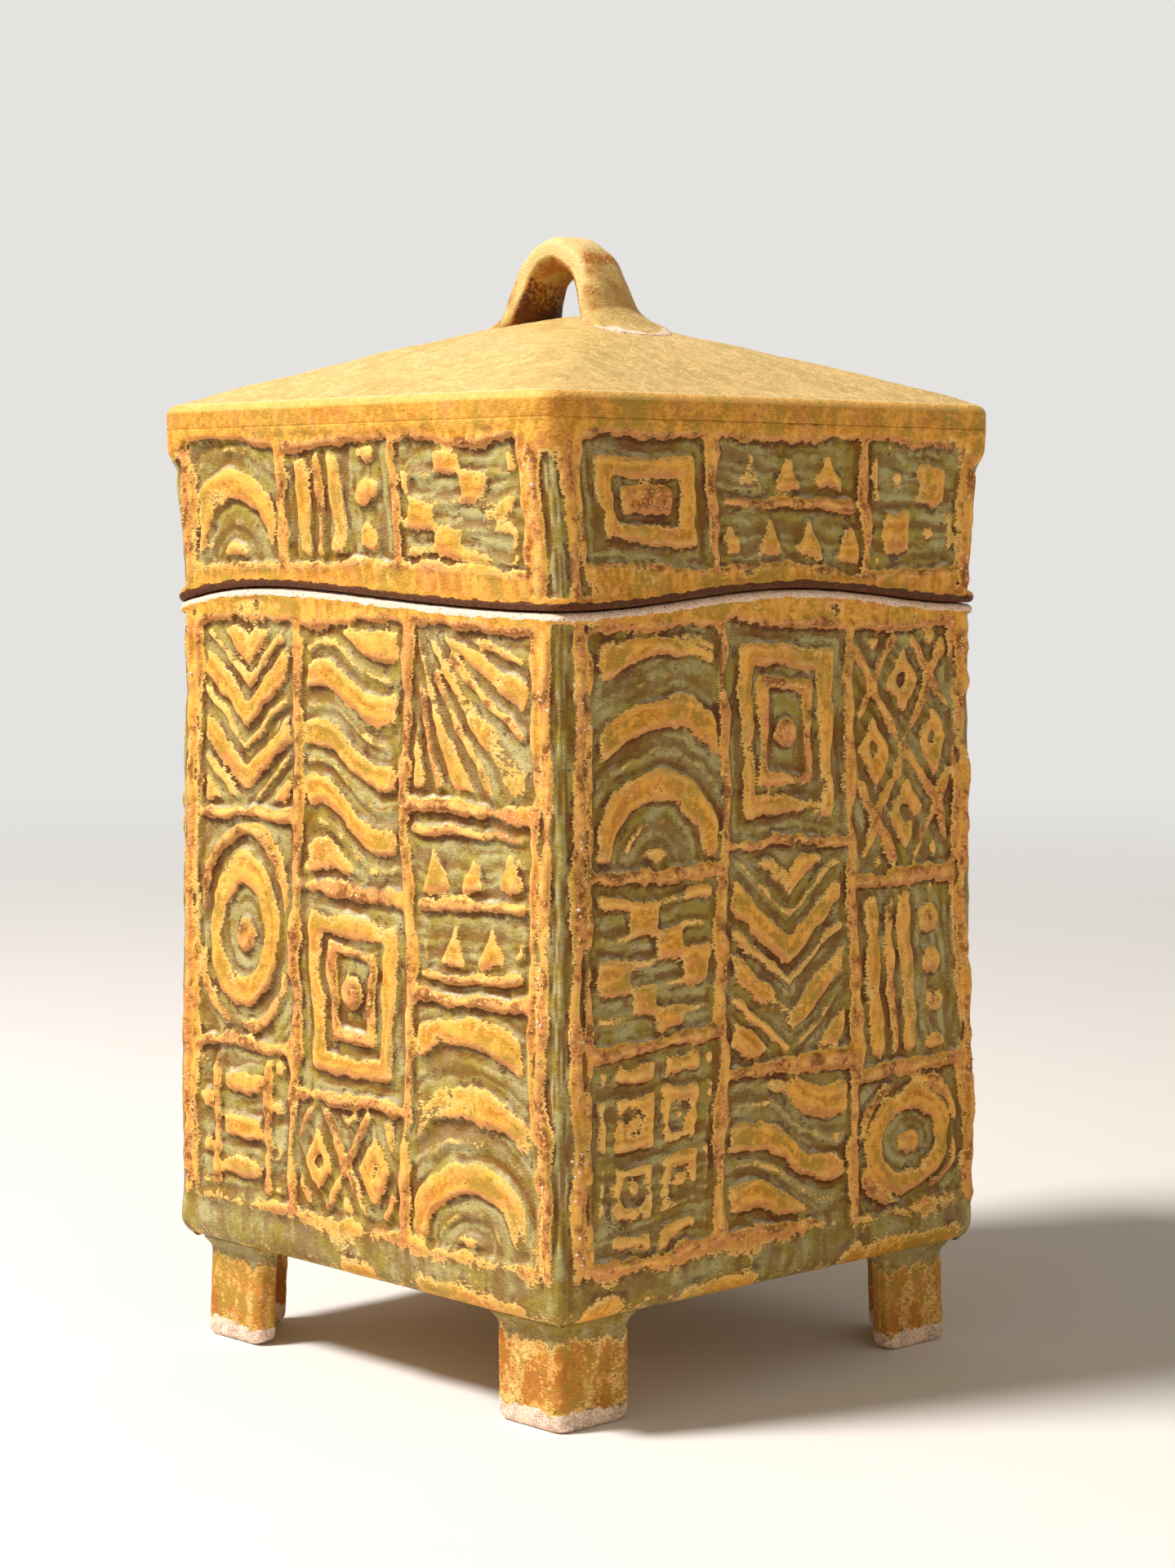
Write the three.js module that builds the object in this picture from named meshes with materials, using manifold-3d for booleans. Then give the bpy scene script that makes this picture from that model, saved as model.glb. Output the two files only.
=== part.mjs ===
// A slab-built ceramic box on four bracket feet, with a lift-off lid and a pulled handle.
// Every slab, foot, seam coil and the handle is a solid of its own. Millimetres, +Z up.
// The origin lies on the table under the middle of the box, and the walls face the X and Y axes.
import * as THREE from "three";
import { mergeVertices } from "three/addons/utils/BufferGeometryUtils.js";
import Module from "manifold-3d";

// Driving dimensions of the box and the lid.
const SEAM_WIDTH = 119; // across two facing walls, outside, where the lid parts from the box
const BASE_FLARE = 3; // how much wider the box is at the floor
const EAVE_FLARE = 3; // how much wider the lid is at the roof's edge
const WALL_THICKNESS = 5.5;
const FLOOR_THICKNESS = 6.5;
const BOX_HEIGHT = 133; // from the floor's underside to the seam at the corners
const LID_HEIGHT = 35.6; // from the seam at the corners to the roof slab's underside
const CORNER_RADIUS = 4; // of the four upright corners
const FLOOR_EDGE_RADIUS = 6; // of the floor slab's lower edge

// The wavy cut that parts the lid from the box and keys it in place.
const SEAM_RISE = 3.6; // from the corners up to each wall's crest
const SEAM_CLEARANCE = 0.3; // between the rim and the lid standing on it
const SEAM_CRESTS = { front: 0.27, right: 0.53, back: 0.4, left: 0.62 }; // shares of the wall's length

// The roof slab, a shallow pyramid with soft hips.
const ROOF_EDGE_THICKNESS = 4.6;
const ROOF_EDGE_RADIUS = 2.6;
const ROOF_RISE = 18.8; // from the eave's level to the apex
const ROOF_CROWN = 1.35; // 1 is a straight slope, and more is a fuller one
const ROOF_HIP_SOFTNESS = 0.6; // 0 is a sharp hip at the apex, and 1 is a round one

// The bracket feet, each an angle of slab under one corner.
const FOOT_HEIGHT = 20.7;
const FOOT_LEG = 18.5; // along each wall
const FOOT_THICKNESS = 5.2;
const FOOT_INSET = 6.2; // from the outside of the walls at the floor
const FOOT_SPLAY = 0.5; // how far the sole stands out past the top
const FOOT_EDGE = 1.1; // bevel round the sole

// The pulled handle, an arch along X whose ends are spread on the roof.
const HANDLE_HEIGHT = 16.2; // from the roof's apex to the top of the arch
const HANDLE_SHIFT = -1.6; // of its middle from the apex, along X
const HANDLE_OPENING = 13.5; // clear span between its legs
const HANDLE_WIDTH = 10; // across the strap, along Y
const HANDLE_THICKNESS = 5.4;
const TOE_REACH = 23.5; // from the handle's middle to each tip
const TOE_WIDTH = 20;
const TOE_THICKNESS = 3;

// The coils pressed into the inside seams.
const COIL_SIZE = 4;
const COIL_END_GAP = 3; // from a coil's end to the rim

// The pressed patchwork: framed panels whose figures stand in a sunken ground.
const GROUND_DEPTH = 1.8; // of the ground behind the wall's face, which the frames' ridges keep
const FIGURE_DEPTH = 0.7; // of the figures' flat tops behind the same face
const FRAME_RIDGE = 2.3; // between two panels
const FRAME_GROOVE = 1.7; // from a ridge to the figures
const FIELD_MARGIN = 7.75; // from a corner's outside, halfway up, to the patchwork
const BOX_FIELD_FOOT = 10.3; // from the floor's underside up to the patchwork
const BOX_FIELD_HEAD = 2.2; // from the patchwork up to the rim's corners
const LID_FIELD_FOOT = 3.3; // from the cut's crests up to the lid's patchwork
const LID_FIELD_HEAD = 1.9; // from the lid's patchwork up to the roof slab

// Sizes of the figures: a pitch runs from one stroke to the next, and a width is a stroke's own.
const BOSS_RADIUS = 3;
const CHEVRON = { pitch: 13.5, width: 5.4, steepness: 0.85 };
const RING = { radius: 9.2, width: 4.8 };
const RIB = { pitch: 10.2, width: 3.9, beadMargin: 8.4, beadPitch: 9.2, beadLift: 1.6 };
const FRAME = { inset: 6.8, width: 4 };
const TILE = { pitch: 13.2, size: 10.5, everyOther: false };
const CHECK = { pitch: 9.4, size: 8.2, everyOther: true };
const TOOTH = { pitch: 10.8, row: 13.6, foot: 8, height: 8, lift: 2.6 };
const LADDER = { pitch: 8.8, width: 4, rail: 2.2, railShare: 0.52, gap: 1.2 };
const LOZENGE = { pitch: 17, size: 4.6, stretch: 1.61 };
const ARCH = { pitch: 12.6, width: 5.6, first: 2.4, stretch: 1.09 };
const RAY = { first: 5.5, pitch: 19, spread: 4, lift: 4 }; // degrees, and the source's lift
const WAVE = { pitch: 12.2, width: 5, swing: 2.6, length: 35.2, tilt: 0.14 };
const STAIR = { run: 7.8, rise: 5.4, pitch: 16.2, width: 6.4, lift: 3.6 };

const LUTE = 0.3; // slip joint between two luted pieces
const SIDES = ["front", "right", "back", "left"]; // in the order of quarter turns about Z
const QUARTER = Math.PI / 2;
const CORNER_STEPS = 4; // facets of a quarter-round corner
const SEAM_STEPS = 20; // straight steps of one wall's wave
const ARC_STEPS = 8; // facets of a hoop or wave in the patchwork

// Widths and levels that follow from the sizes above.
const BASE_WIDTH = SEAM_WIDTH + BASE_FLARE;
const EAVE_WIDTH = SEAM_WIDTH + EAVE_FLARE;
const FLOOR_TOP = FOOT_HEIGHT + FLOOR_THICKNESS;
const SEAM_CORNER = FOOT_HEIGHT + BOX_HEIGHT;
const ROOF_UNDERSIDE = SEAM_CORNER + LID_HEIGHT;
const EAVE = ROOF_UNDERSIDE + ROOF_EDGE_THICKNESS;
const ROOF_APEX = EAVE + ROOF_RISE;

const wasm = await Module();
wasm.setup();

// Finishes.
const ochreGlaze = new THREE.MeshStandardMaterial({ color: 0xc4913f, roughness: 0.5, metalness: 0 });
const strawGlaze = new THREE.MeshStandardMaterial({ color: 0xd2b072, roughness: 0.55, metalness: 0 });
const linerGlaze = new THREE.MeshStandardMaterial({ color: 0xb48a45, roughness: 0.5, metalness: 0 });

const mix = (a, b, share) => a + (b - a) * share;

// Half the outside width of the box's walls at a height, and of the lid's walls.
const boxHalf = (z) => mix(BASE_WIDTH, SEAM_WIDTH, (z - FOOT_HEIGHT) / BOX_HEIGHT) / 2;
const lidHalf = (z) => mix(SEAM_WIDTH, EAVE_WIDTH, (z - SEAM_CORNER) / LID_HEIGHT) / 2;

// Height of the wavy cut at a share of one wall's length, from 0 at its left end to 1.
function seamAt(side, share) {
  const skew = Math.log(0.5) / Math.log(SEAM_CRESTS[side]);
  return SEAM_CORNER + SEAM_RISE * Math.sin(Math.PI * share ** skew) ** 2;
}

// A closed solid through loops of equally many points, with each end closed by a fan round its hub.
function loft(loops, firstHub, lastHub) {
  const count = loops[0].length;
  const points = [...loops.flat(), firstHub, lastHub];
  const first = points.length - 2;
  const last = points.length - 1;
  const lastLoop = (loops.length - 1) * count;
  const faces = [];
  for (let i = 0; i < count; i++) {
    const next = (i + 1) % count;
    faces.push(first, next, i, last, lastLoop + i, lastLoop + next);
    for (let row = 0; row < lastLoop; row += count) {
      faces.push(row + i, row + next, row + count + i);
      faces.push(row + next, row + count + next, row + count + i);
    }
  }
  return facingOut(new THREE.BufferGeometry().setFromPoints(points).setIndex(faces));
}

// Turns every face of a closed geometry round if they point inwards.
function facingOut(geometry) {
  const { position } = geometry.attributes;
  const corner = (i) => new THREE.Vector3().fromBufferAttribute(position, geometry.index.getX(i));
  const faces = [...geometry.index.array];
  let volume = 0;
  for (let i = 0; i < faces.length; i += 3) volume += corner(i).cross(corner(i + 1)).dot(corner(i + 2));
  if (volume < 0) geometry.setIndex(faces.reverse());
  return geometry;
}

// A square outline with rounded corners, at one height.
function squareLoop(half, radius, z) {
  const points = [];
  for (let corner = 0; corner < 4; corner++) {
    for (let step = 0; step <= CORNER_STEPS; step++) {
      const turn = (corner + step / CORNER_STEPS) * QUARTER;
      const inX = Math.sign(Math.cos((corner + 0.5) * QUARTER)) * (half - radius);
      const inY = Math.sign(Math.sin((corner + 0.5) * QUARTER)) * (half - radius);
      points.push(new THREE.Vector3(inX + radius * Math.cos(turn), inY + radius * Math.sin(turn), z));
    }
  }
  return points;
}

// One wall slab that faces -Y, mitred at both ends, from a bottom height to a top height.
// halfAt gives the outside half width at a height, and the heights depend on the share of length.
function wallSlab(halfAt, bottomAt, topAt) {
  const half = halfAt(topAt(0.5));
  const mitre = LUTE / Math.SQRT2;
  // Stations along the wall: an eighth of a turn round each corner, and even steps between.
  const eighth = [];
  for (let step = 1; step <= CORNER_STEPS / 2; step++) eighth.push(QUARTER * (step / CORNER_STEPS));
  const straight = [];
  for (let step = 0; step <= SEAM_STEPS; step++) {
    straight.push({ turn: 0, along: mix(-1, 1, step / SEAM_STEPS) });
  }
  const stations = [
    ...[...eighth].reverse().map((turn) => ({ turn, along: -1 })),
    ...straight,
    ...eighth.map((turn) => ({ turn, along: 1 })),
  ];

  const outside = (station, h) => {
    const flat = h - CORNER_RADIUS;
    const x = station.along * flat + Math.sign(station.along) * CORNER_RADIUS * Math.sin(station.turn);
    return [x, flat + CORNER_RADIUS * Math.cos(station.turn)];
  };
  const reach = outside({ turn: QUARTER / 2, along: 1 }, half)[0];
  const loops = stations.map((station) => {
    const share = outside(station, half)[0] / reach;
    const atMitre = Math.abs(share) > 1 - 1e-9 ? Math.sign(share) * mitre : 0;
    const corner = (z, inner) => {
      const [x, out] = outside(station, halfAt(z));
      const insideHalf = halfAt(z) - WALL_THICKNESS;
      return inner
        ? new THREE.Vector3(share * insideHalf - atMitre, -insideHalf, z)
        : new THREE.Vector3(x - atMitre, -out, z);
    };
    const low = bottomAt((share + 1) / 2);
    const high = topAt((share + 1) / 2);
    return [corner(low, false), corner(high, false), corner(high, true), corner(low, true)];
  });
  const hub = (loop) => loop.reduce((sum, p) => sum.add(p), new THREE.Vector3()).divideScalar(loop.length);
  return loft(loops, hub(loops[0]), hub(loops.at(-1)));
}

function solidOf(geometry) {
  const bare = geometry.clone();
  for (const name of Object.keys(bare.attributes)) if (name !== "position") bare.deleteAttribute(name);
  const merged = mergeVertices(bare, 1e-4);
  const vertProperties = new Float32Array(merged.attributes.position.array);
  const triVerts = new Uint32Array(merged.index.array);
  return new wasm.Manifold(new wasm.Mesh({ numProp: 3, vertProperties, triVerts }));
}

function geometryOf(solid) {
  const mesh = solid.getMesh();
  const geometry = new THREE.BufferGeometry();
  geometry.setAttribute("position", new THREE.BufferAttribute(new Float32Array(mesh.vertProperties), 3));
  return geometry.setIndex([...mesh.triVerts]);
}

// A flat outline of the unrolled wall as a solid between two depths behind the wall's face.
function pressed(outline, from, to) {
  const shape = new THREE.Shape(outline.map(([x, z]) => new THREE.Vector2(x, z)));
  const geometry = new THREE.ExtrudeGeometry(shape, { depth: to - from, bevelEnabled: false });
  return solidOf(geometry.rotateX(QUARTER).translate(0, to, 0));
}

// Whole numbers k for which k times a pitch lies between two values.
function repeats(low, high, pitch) {
  const all = [];
  for (let k = Math.ceil(low / pitch); k * pitch <= high; k++) all.push(k);
  return all;
}

// Outlines that the figures are made of, as points of X and Z round a panel's middle.
const block = (x, z, width, height) => [
  [x - width / 2, z - height / 2],
  [x + width / 2, z - height / 2],
  [x + width / 2, z + height / 2],
  [x - width / 2, z + height / 2],
];

function arc(x, z, radius, stretch, from, to, steps) {
  return Array.from({ length: steps + 1 }, (_, k) => {
    const turn = mix(from, to, k / steps);
    return [x + radius * Math.cos(turn), z + stretch * radius * Math.sin(turn)];
  });
}

const boss = (x, z, radius) => arc(x, z, radius, 1, 0, (5 / 3) * Math.PI, 5);

// A half hoop that opens downwards, or upwards with a negative stretch.
function halfHoop(x, z, radius, width, stretch) {
  const outer = arc(x, z, radius + width / 2, stretch, 0, Math.PI, ARC_STEPS);
  if (radius <= width / 2) return outer;
  return [...outer, ...arc(x, z, radius - width / 2, stretch, Math.PI, 0, ARC_STEPS)];
}

// A stripe that follows a curve of heights across the panel.
const ribbon = (stations, heightAt, level, width) => [
  ...stations.map((x) => [x, heightAt(x) + level - width / 2]),
  ...[...stations].reverse().map((x) => [x, heightAt(x) + level + width / 2]),
];

// Each figure fills a panel of half width a and half height b with raised outlines.
function chevrons(a, b) {
  const { pitch, width, steepness } = CHEVRON;
  const heightAt = (x) => steepness * Math.abs(x);
  return repeats(-b - heightAt(a), b, pitch).map((k) => ribbon([-a, 0, a], heightAt, pitch * k, width));
}

function rings(a, b) {
  const hoops = [b / a, -b / a].map((stretch) => halfHoop(0, 0, RING.radius, RING.width, stretch));
  return [...hoops, boss(0, 0, BOSS_RADIUS)];
}

function ribs(a, b) {
  const { pitch, width, beadMargin, beadPitch, beadLift } = RIB;
  const beadColumn = a - beadMargin;
  return [
    ...repeats(-a, beadColumn - beadPitch / 2, pitch).map((k) => block(pitch * k, 0, width, 2 * b)),
    ...repeats(-b, b, beadPitch).map((k) => boss(beadColumn, beadLift + beadPitch * k, BOSS_RADIUS)),
  ];
}

function frames(a, b) {
  const [x, z] = [a - FRAME.inset, b - FRAME.inset];
  return [
    ...[x, -x].map((side) => block(side, 0, FRAME.width, 2 * z + FRAME.width)),
    ...[z, -z].map((side) => block(0, side, 2 * x + FRAME.width, FRAME.width)),
    boss(0, 0, BOSS_RADIUS),
  ];
}

// Square tiles in the cells of a grid, in every cell or in every other one.
function tiles(a, b, { pitch, size, everyOther }) {
  return repeats(-a - pitch, a, pitch).flatMap((i) =>
    repeats(-b - pitch, b, pitch)
      .filter((j) => !everyOther || (i + j) % 2 === 0)
      .map((j) => block(pitch * (i + 0.5), pitch * (j + 0.5), size, size)),
  );
}

const basket = (a, b) => tiles(a, b, TILE);
const checks = (a, b) => tiles(a, b, CHECK);

function teeth(a, b) {
  const { pitch, row, foot, height, lift } = TOOTH;
  return repeats(-b - row, b, row).flatMap((k) =>
    repeats(-a - pitch, a + pitch, pitch).map((i) => {
      const x = pitch * (k % 2 ? i - 0.5 : i);
      const z = row * k + lift;
      return [[x - foot / 2, z], [x + foot / 2, z], [x, z + height]];
    }),
  );
}

function ladder(a, b) {
  const { pitch, width, rail, railShare, gap } = LADDER;
  const railAt = railShare * a;
  const rungLength = 2 * (railAt - rail / 2 - gap);
  const outerStart = railAt + rail / 2 + gap;
  return [
    ...[railAt, -railAt].map((x) => block(x, 0, rail, 2 * b)),
    ...repeats(-b, b, pitch).map((k) => block(0, pitch * k, rungLength, width)),
    ...repeats(-b - pitch, b, pitch).flatMap((k) =>
      [1, -1].map((side) => block((side * (outerStart + a)) / 2, pitch * (k + 0.5), a - outerStart, width)),
    ),
  ];
}

function lozenges(a, b) {
  const { pitch, size, stretch } = LOZENGE;
  const cells = repeats(-a - b, a + b, pitch);
  return cells.flatMap((i) =>
    cells.map((j) => {
      const [x, z] = [(pitch / 2) * (i + j + 1), (pitch / 2) * (i - j) * stretch];
      return [[x - size, z], [x, z - size * stretch], [x + size, z], [x, z + size * stretch]];
    }),
  );
}

function arches(a, b) {
  const { pitch, width, first, stretch } = ARCH;
  return repeats(-first, Math.hypot(a, 2 * b), pitch).map((k) =>
    halfHoop(0, -b, pitch * k + first, width, stretch),
  );
}

function rays(a, b) {
  const { first, pitch, spread, lift } = RAY;
  const far = 3 * (a + b);
  const edge = (degrees) => {
    const turn = THREE.MathUtils.degToRad(degrees);
    return [far * Math.sin(turn) - a, b + lift - far * Math.cos(turn)];
  };
  const source = [-a, b + lift];
  return repeats(0, 90 - first, pitch).map((k) => {
    const middle = first + pitch * k;
    return [source, edge(middle - spread), edge(middle + spread)];
  });
}

function waves(a, b) {
  const { pitch, width, swing, length, tilt } = WAVE;
  const heightAt = (x) => -swing * Math.sin((2 * Math.PI * x) / length) - tilt * x;
  const stations = Array.from({ length: ARC_STEPS + 1 }, (_, k) => mix(-a, a, k / ARC_STEPS));
  const reach = b + swing + tilt * a;
  return repeats(-reach, reach, pitch).map((k) => ribbon(stations, heightAt, pitch * k, width));
}

function steps(a, b) {
  const { run, rise, pitch, width, lift } = STAIR;
  return repeats(-a - run, a, run).flatMap((i) =>
    repeats(-b - a, b + a, pitch).map((k) =>
      block(run * (i + 0.5), pitch * k + lift - rise * i, run, width),
    ),
  );
}

// The panels of each wall, as shares of the patchwork's width and height: left, right, low, high.
const BOX_PANELS = {
  front: [
    [0, 0.32, 0, 0.27, ladder], [0, 0.32, 0.27, 0.66, rings], [0, 0.32, 0.66, 1, chevrons],
    [0.32, 0.65, 0, 0.21, lozenges], [0.32, 0.65, 0.21, 0.56, frames], [0.32, 0.65, 0.56, 1, waves],
    [0.65, 1, 0, 0.41, arches], [0.65, 1, 0.41, 0.71, teeth], [0.65, 1, 0.71, 1, rays],
  ],
  right: [
    [0, 0.35, 0, 0.34, basket], [0, 0.35, 0.34, 0.61, steps], [0, 0.35, 0.61, 1, arches],
    [0.35, 0.7, 0, 0.27, waves], [0.35, 0.7, 0.27, 0.64, chevrons], [0.35, 0.7, 0.64, 1, frames],
    [0.7, 1, 0, 0.24, rings], [0.7, 1, 0.24, 0.57, ribs], [0.7, 1, 0.57, 1, lozenges],
  ],
  back: [
    [0, 0.33, 0, 0.39, frames], [0, 0.33, 0.39, 0.72, lozenges], [0, 0.33, 0.72, 1, ribs],
    [0.33, 0.68, 0, 0.24, chevrons], [0.33, 0.68, 0.24, 0.61, rays], [0.33, 0.68, 0.61, 1, rings],
    [0.68, 1, 0, 0.32, teeth], [0.68, 1, 0.32, 0.67, waves], [0.68, 1, 0.67, 1, basket],
  ],
  left: [
    [0, 0.36, 0, 0.31, arches], [0, 0.36, 0.31, 0.62, ladder], [0, 0.36, 0.62, 1, rays],
    [0.36, 0.69, 0, 0.36, rings], [0.36, 0.69, 0.36, 0.66, basket], [0.36, 0.69, 0.66, 1, teeth],
    [0.69, 1, 0, 0.22, steps], [0.69, 1, 0.22, 0.59, chevrons], [0.69, 1, 0.59, 1, frames],
  ],
};
const LID_PANELS = {
  front: [[0, 0.29, 0, 1, arches], [0.29, 0.62, 0, 1, ribs], [0.62, 1, 0, 1, steps]],
  right: [[0, 0.33, 0, 1, frames], [0.33, 0.73, 0, 1, teeth], [0.73, 1, 0, 1, checks]],
  back: [[0, 0.37, 0, 1, waves], [0.37, 0.71, 0, 1, lozenges], [0.71, 1, 0, 1, rings]],
  left: [[0, 0.31, 0, 1, checks], [0.31, 0.67, 0, 1, chevrons], [0.67, 1, 0, 1, basket]],
};

// Presses a patchwork of framed figures into a wall's face, between two heights.
function pressPatchwork(slab, halfAt, [low, high], panels) {
  const middleHalf = halfAt(mix(low, high, 0.5));
  const reach = middleHalf - FIELD_MARGIN;
  const outside = -GROUND_DEPTH;
  const behind = 2 * GROUND_DEPTH;
  let wall = solidOf(slab);
  for (const [left, right, bottom, top, figure] of panels) {
    const width = 2 * reach * (right - left);
    const height = (high - low) * (top - bottom);
    const ground = block(0, 0, width - FRAME_RIDGE, height - FRAME_RIDGE);
    const margin = FRAME_RIDGE + 2 * FRAME_GROOVE;
    const room = block(0, 0, width - margin, height - margin);
    const raised = figure(width / 2, height / 2).map((outline) => pressed(outline, FIGURE_DEPTH, behind));
    const figures = raised.reduce((all, one) => all.add(one)).intersect(pressed(room, outside, behind));
    const sunken = geometryOf(pressed(ground, outside, GROUND_DEPTH).subtract(figures));
    // The face leans back and narrows towards the rim, and the patchwork with it.
    const x = mix(-reach, reach, (left + right) / 2);
    const z = mix(low, high, (bottom + top) / 2);
    const { position } = sunken.attributes;
    for (let i = 0; i < position.count; i++) {
      const level = z + position.getZ(i);
      const narrowing = (halfAt(level) - CORNER_RADIUS) / (middleHalf - CORNER_RADIUS);
      position.setXYZ(i, (x + position.getX(i)) * narrowing, position.getY(i) - halfAt(level), level);
    }
    wall = wall.subtract(solidOf(sunken));
  }
  return geometryOf(wall);
}

function floorSlab() {
  const loops = [];
  const steps = 4;
  for (let step = 0; step <= steps; step++) {
    const turn = (step / steps) * QUARTER;
    const inset = FLOOR_EDGE_RADIUS * (1 - Math.sin(turn));
    const z = FOOT_HEIGHT + FLOOR_EDGE_RADIUS * (1 - Math.cos(turn));
    loops.push(squareLoop(boxHalf(z) - inset, CORNER_RADIUS, z));
  }
  const top = FLOOR_TOP - LUTE;
  loops.push(squareLoop(boxHalf(top), CORNER_RADIUS, top));
  return loft(loops, new THREE.Vector3(0, 0, FOOT_HEIGHT), new THREE.Vector3(0, 0, top));
}

// A bracket foot under the corner towards +X and -Y.
function bracketFoot() {
  const outer = boxHalf(FOOT_HEIGHT) - FOOT_INSET;
  const end = outer - FOOT_LEG;
  const inner = outer - FOOT_THICKNESS;
  const heel = 2 * FOOT_EDGE; // rounding of the upright edge at the corner
  const outline = (bevel, z) => {
    const out = FOOT_SPLAY * (1 - z / FOOT_HEIGHT) - bevel;
    const [o, e, n] = [outer + out, end + out + 4 * bevel, inner + out + 2 * bevel];
    const points = [[e, o], [o - heel, o]];
    for (let step = 1; step < CORNER_STEPS; step++) {
      const turn = (step / CORNER_STEPS) * QUARTER;
      points.push([o - heel + heel * Math.sin(turn), o - heel + heel * Math.cos(turn)]);
    }
    points.push([o, o - heel], [o, e], [n, e], [n, n], [e, n]);
    return points.map(([x, y]) => new THREE.Vector3(x, -y, z));
  };
  const top = FOOT_HEIGHT - LUTE;
  const hub = (z) => new THREE.Vector3((outer + inner) / 2, -(outer + inner) / 2, z);
  return loft([outline(FOOT_EDGE, 0), outline(0, FOOT_EDGE), outline(0, top)], hub(0), hub(top));
}

// A clay coil pressed into an inside corner: two flat sides and a hollow face between them.
// place turns a section point, measured back from the corner, into a point at one end.
function seamCoil(place, ends) {
  const section = [[0, 0], [COIL_SIZE, 0]];
  for (let step = 1; step < CORNER_STEPS; step++) {
    const turn = (step / CORNER_STEPS) * QUARTER;
    section.push([COIL_SIZE * (1 - Math.sin(turn)), COIL_SIZE * (1 - Math.cos(turn))]);
  }
  section.push([0, COIL_SIZE]);
  const loops = ends.map((end) => section.map(([a, b]) => place(a + LUTE, b + LUTE, end)));
  const heart = COIL_SIZE / 8;
  const hubs = ends.map((end) => place(heart + LUTE, heart + LUTE, end));
  return loft(loops, hubs[0], hubs[1]);
}

// In the upright corner towards +X and -Y.
const cornerCoil = (halfAt, ends) =>
  seamCoil((a, b, z) => {
    const inside = halfAt(z) - WALL_THICKNESS;
    return new THREE.Vector3(inside - a, b - inside, z);
  }, ends);

// Along the foot of the wall that faces -Y, between two upright coils.
function floorCoil() {
  const inside = boxHalf(FLOOR_TOP + COIL_SIZE) - WALL_THICKNESS;
  const reach = inside - COIL_SIZE - 2 * LUTE;
  return seamCoil((a, b, x) => new THREE.Vector3(x, a - inside, FLOOR_TOP - LUTE + b), [-reach, reach]);
}

// Height of the roof at a distance from the middle, straight towards a wall.
const slope = (width, half) => 1 - (width / half) ** ROOF_CROWN;
const roofAt = (width) => EAVE + ROOF_RISE * slope(width, EAVE_WIDTH / 2);

// Rounds a ring's corners more and more towards the apex.
function hipRadius(width) {
  const share = width / (EAVE_WIDTH / 2);
  return Math.max(width * mix(ROOF_HIP_SOFTNESS, 0, share), Math.min(CORNER_RADIUS, width / 2));
}

// The roof's upper surface as rings from the eave's outer edge to the apex, lifted by a gap.
function roofRings(lift) {
  const half = EAVE_WIDTH / 2;
  const lipTurn = QUARTER - Math.atan((ROOF_CROWN * ROOF_RISE) / half);
  const lipWidth = half - ROOF_EDGE_RADIUS * (1 - Math.cos(lipTurn));
  const lipCentre = roofAt(lipWidth) - ROOF_EDGE_RADIUS * Math.sin(lipTurn);
  const rings = [];
  const lipSteps = 3;
  for (let step = 0; step <= lipSteps; step++) {
    const turn = (step / lipSteps) * lipTurn;
    const width = half - ROOF_EDGE_RADIUS * (1 - Math.cos(turn));
    rings.push(squareLoop(width, CORNER_RADIUS, lipCentre + ROOF_EDGE_RADIUS * Math.sin(turn) + lift));
  }
  const slopeSteps = 9;
  for (let step = 1; step < slopeSteps; step++) {
    const width = lipWidth * (1 - step / slopeSteps);
    rings.push(squareLoop(width, hipRadius(width), roofAt(width) + lift));
  }
  return rings;
}

function roofSlab() {
  const insideHalf = EAVE_WIDTH / 2 - WALL_THICKNESS;
  const ceilingAt = (width) => ROOF_UNDERSIDE + ROOF_RISE * slope(width, insideHalf);
  const ceiling = [];
  const steps = 7;
  for (let step = 1; step <= steps; step++) {
    const width = (insideHalf * step) / steps;
    ceiling.push(squareLoop(width, hipRadius(width), ceilingAt(width)));
  }
  const edge = squareLoop(EAVE_WIDTH / 2, CORNER_RADIUS, ROOF_UNDERSIDE);
  return loft(
    [...ceiling, edge, ...roofRings(0)],
    new THREE.Vector3(0, 0, ceilingAt(0)),
    new THREE.Vector3(0, 0, ROOF_APEX),
  );
}

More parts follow.
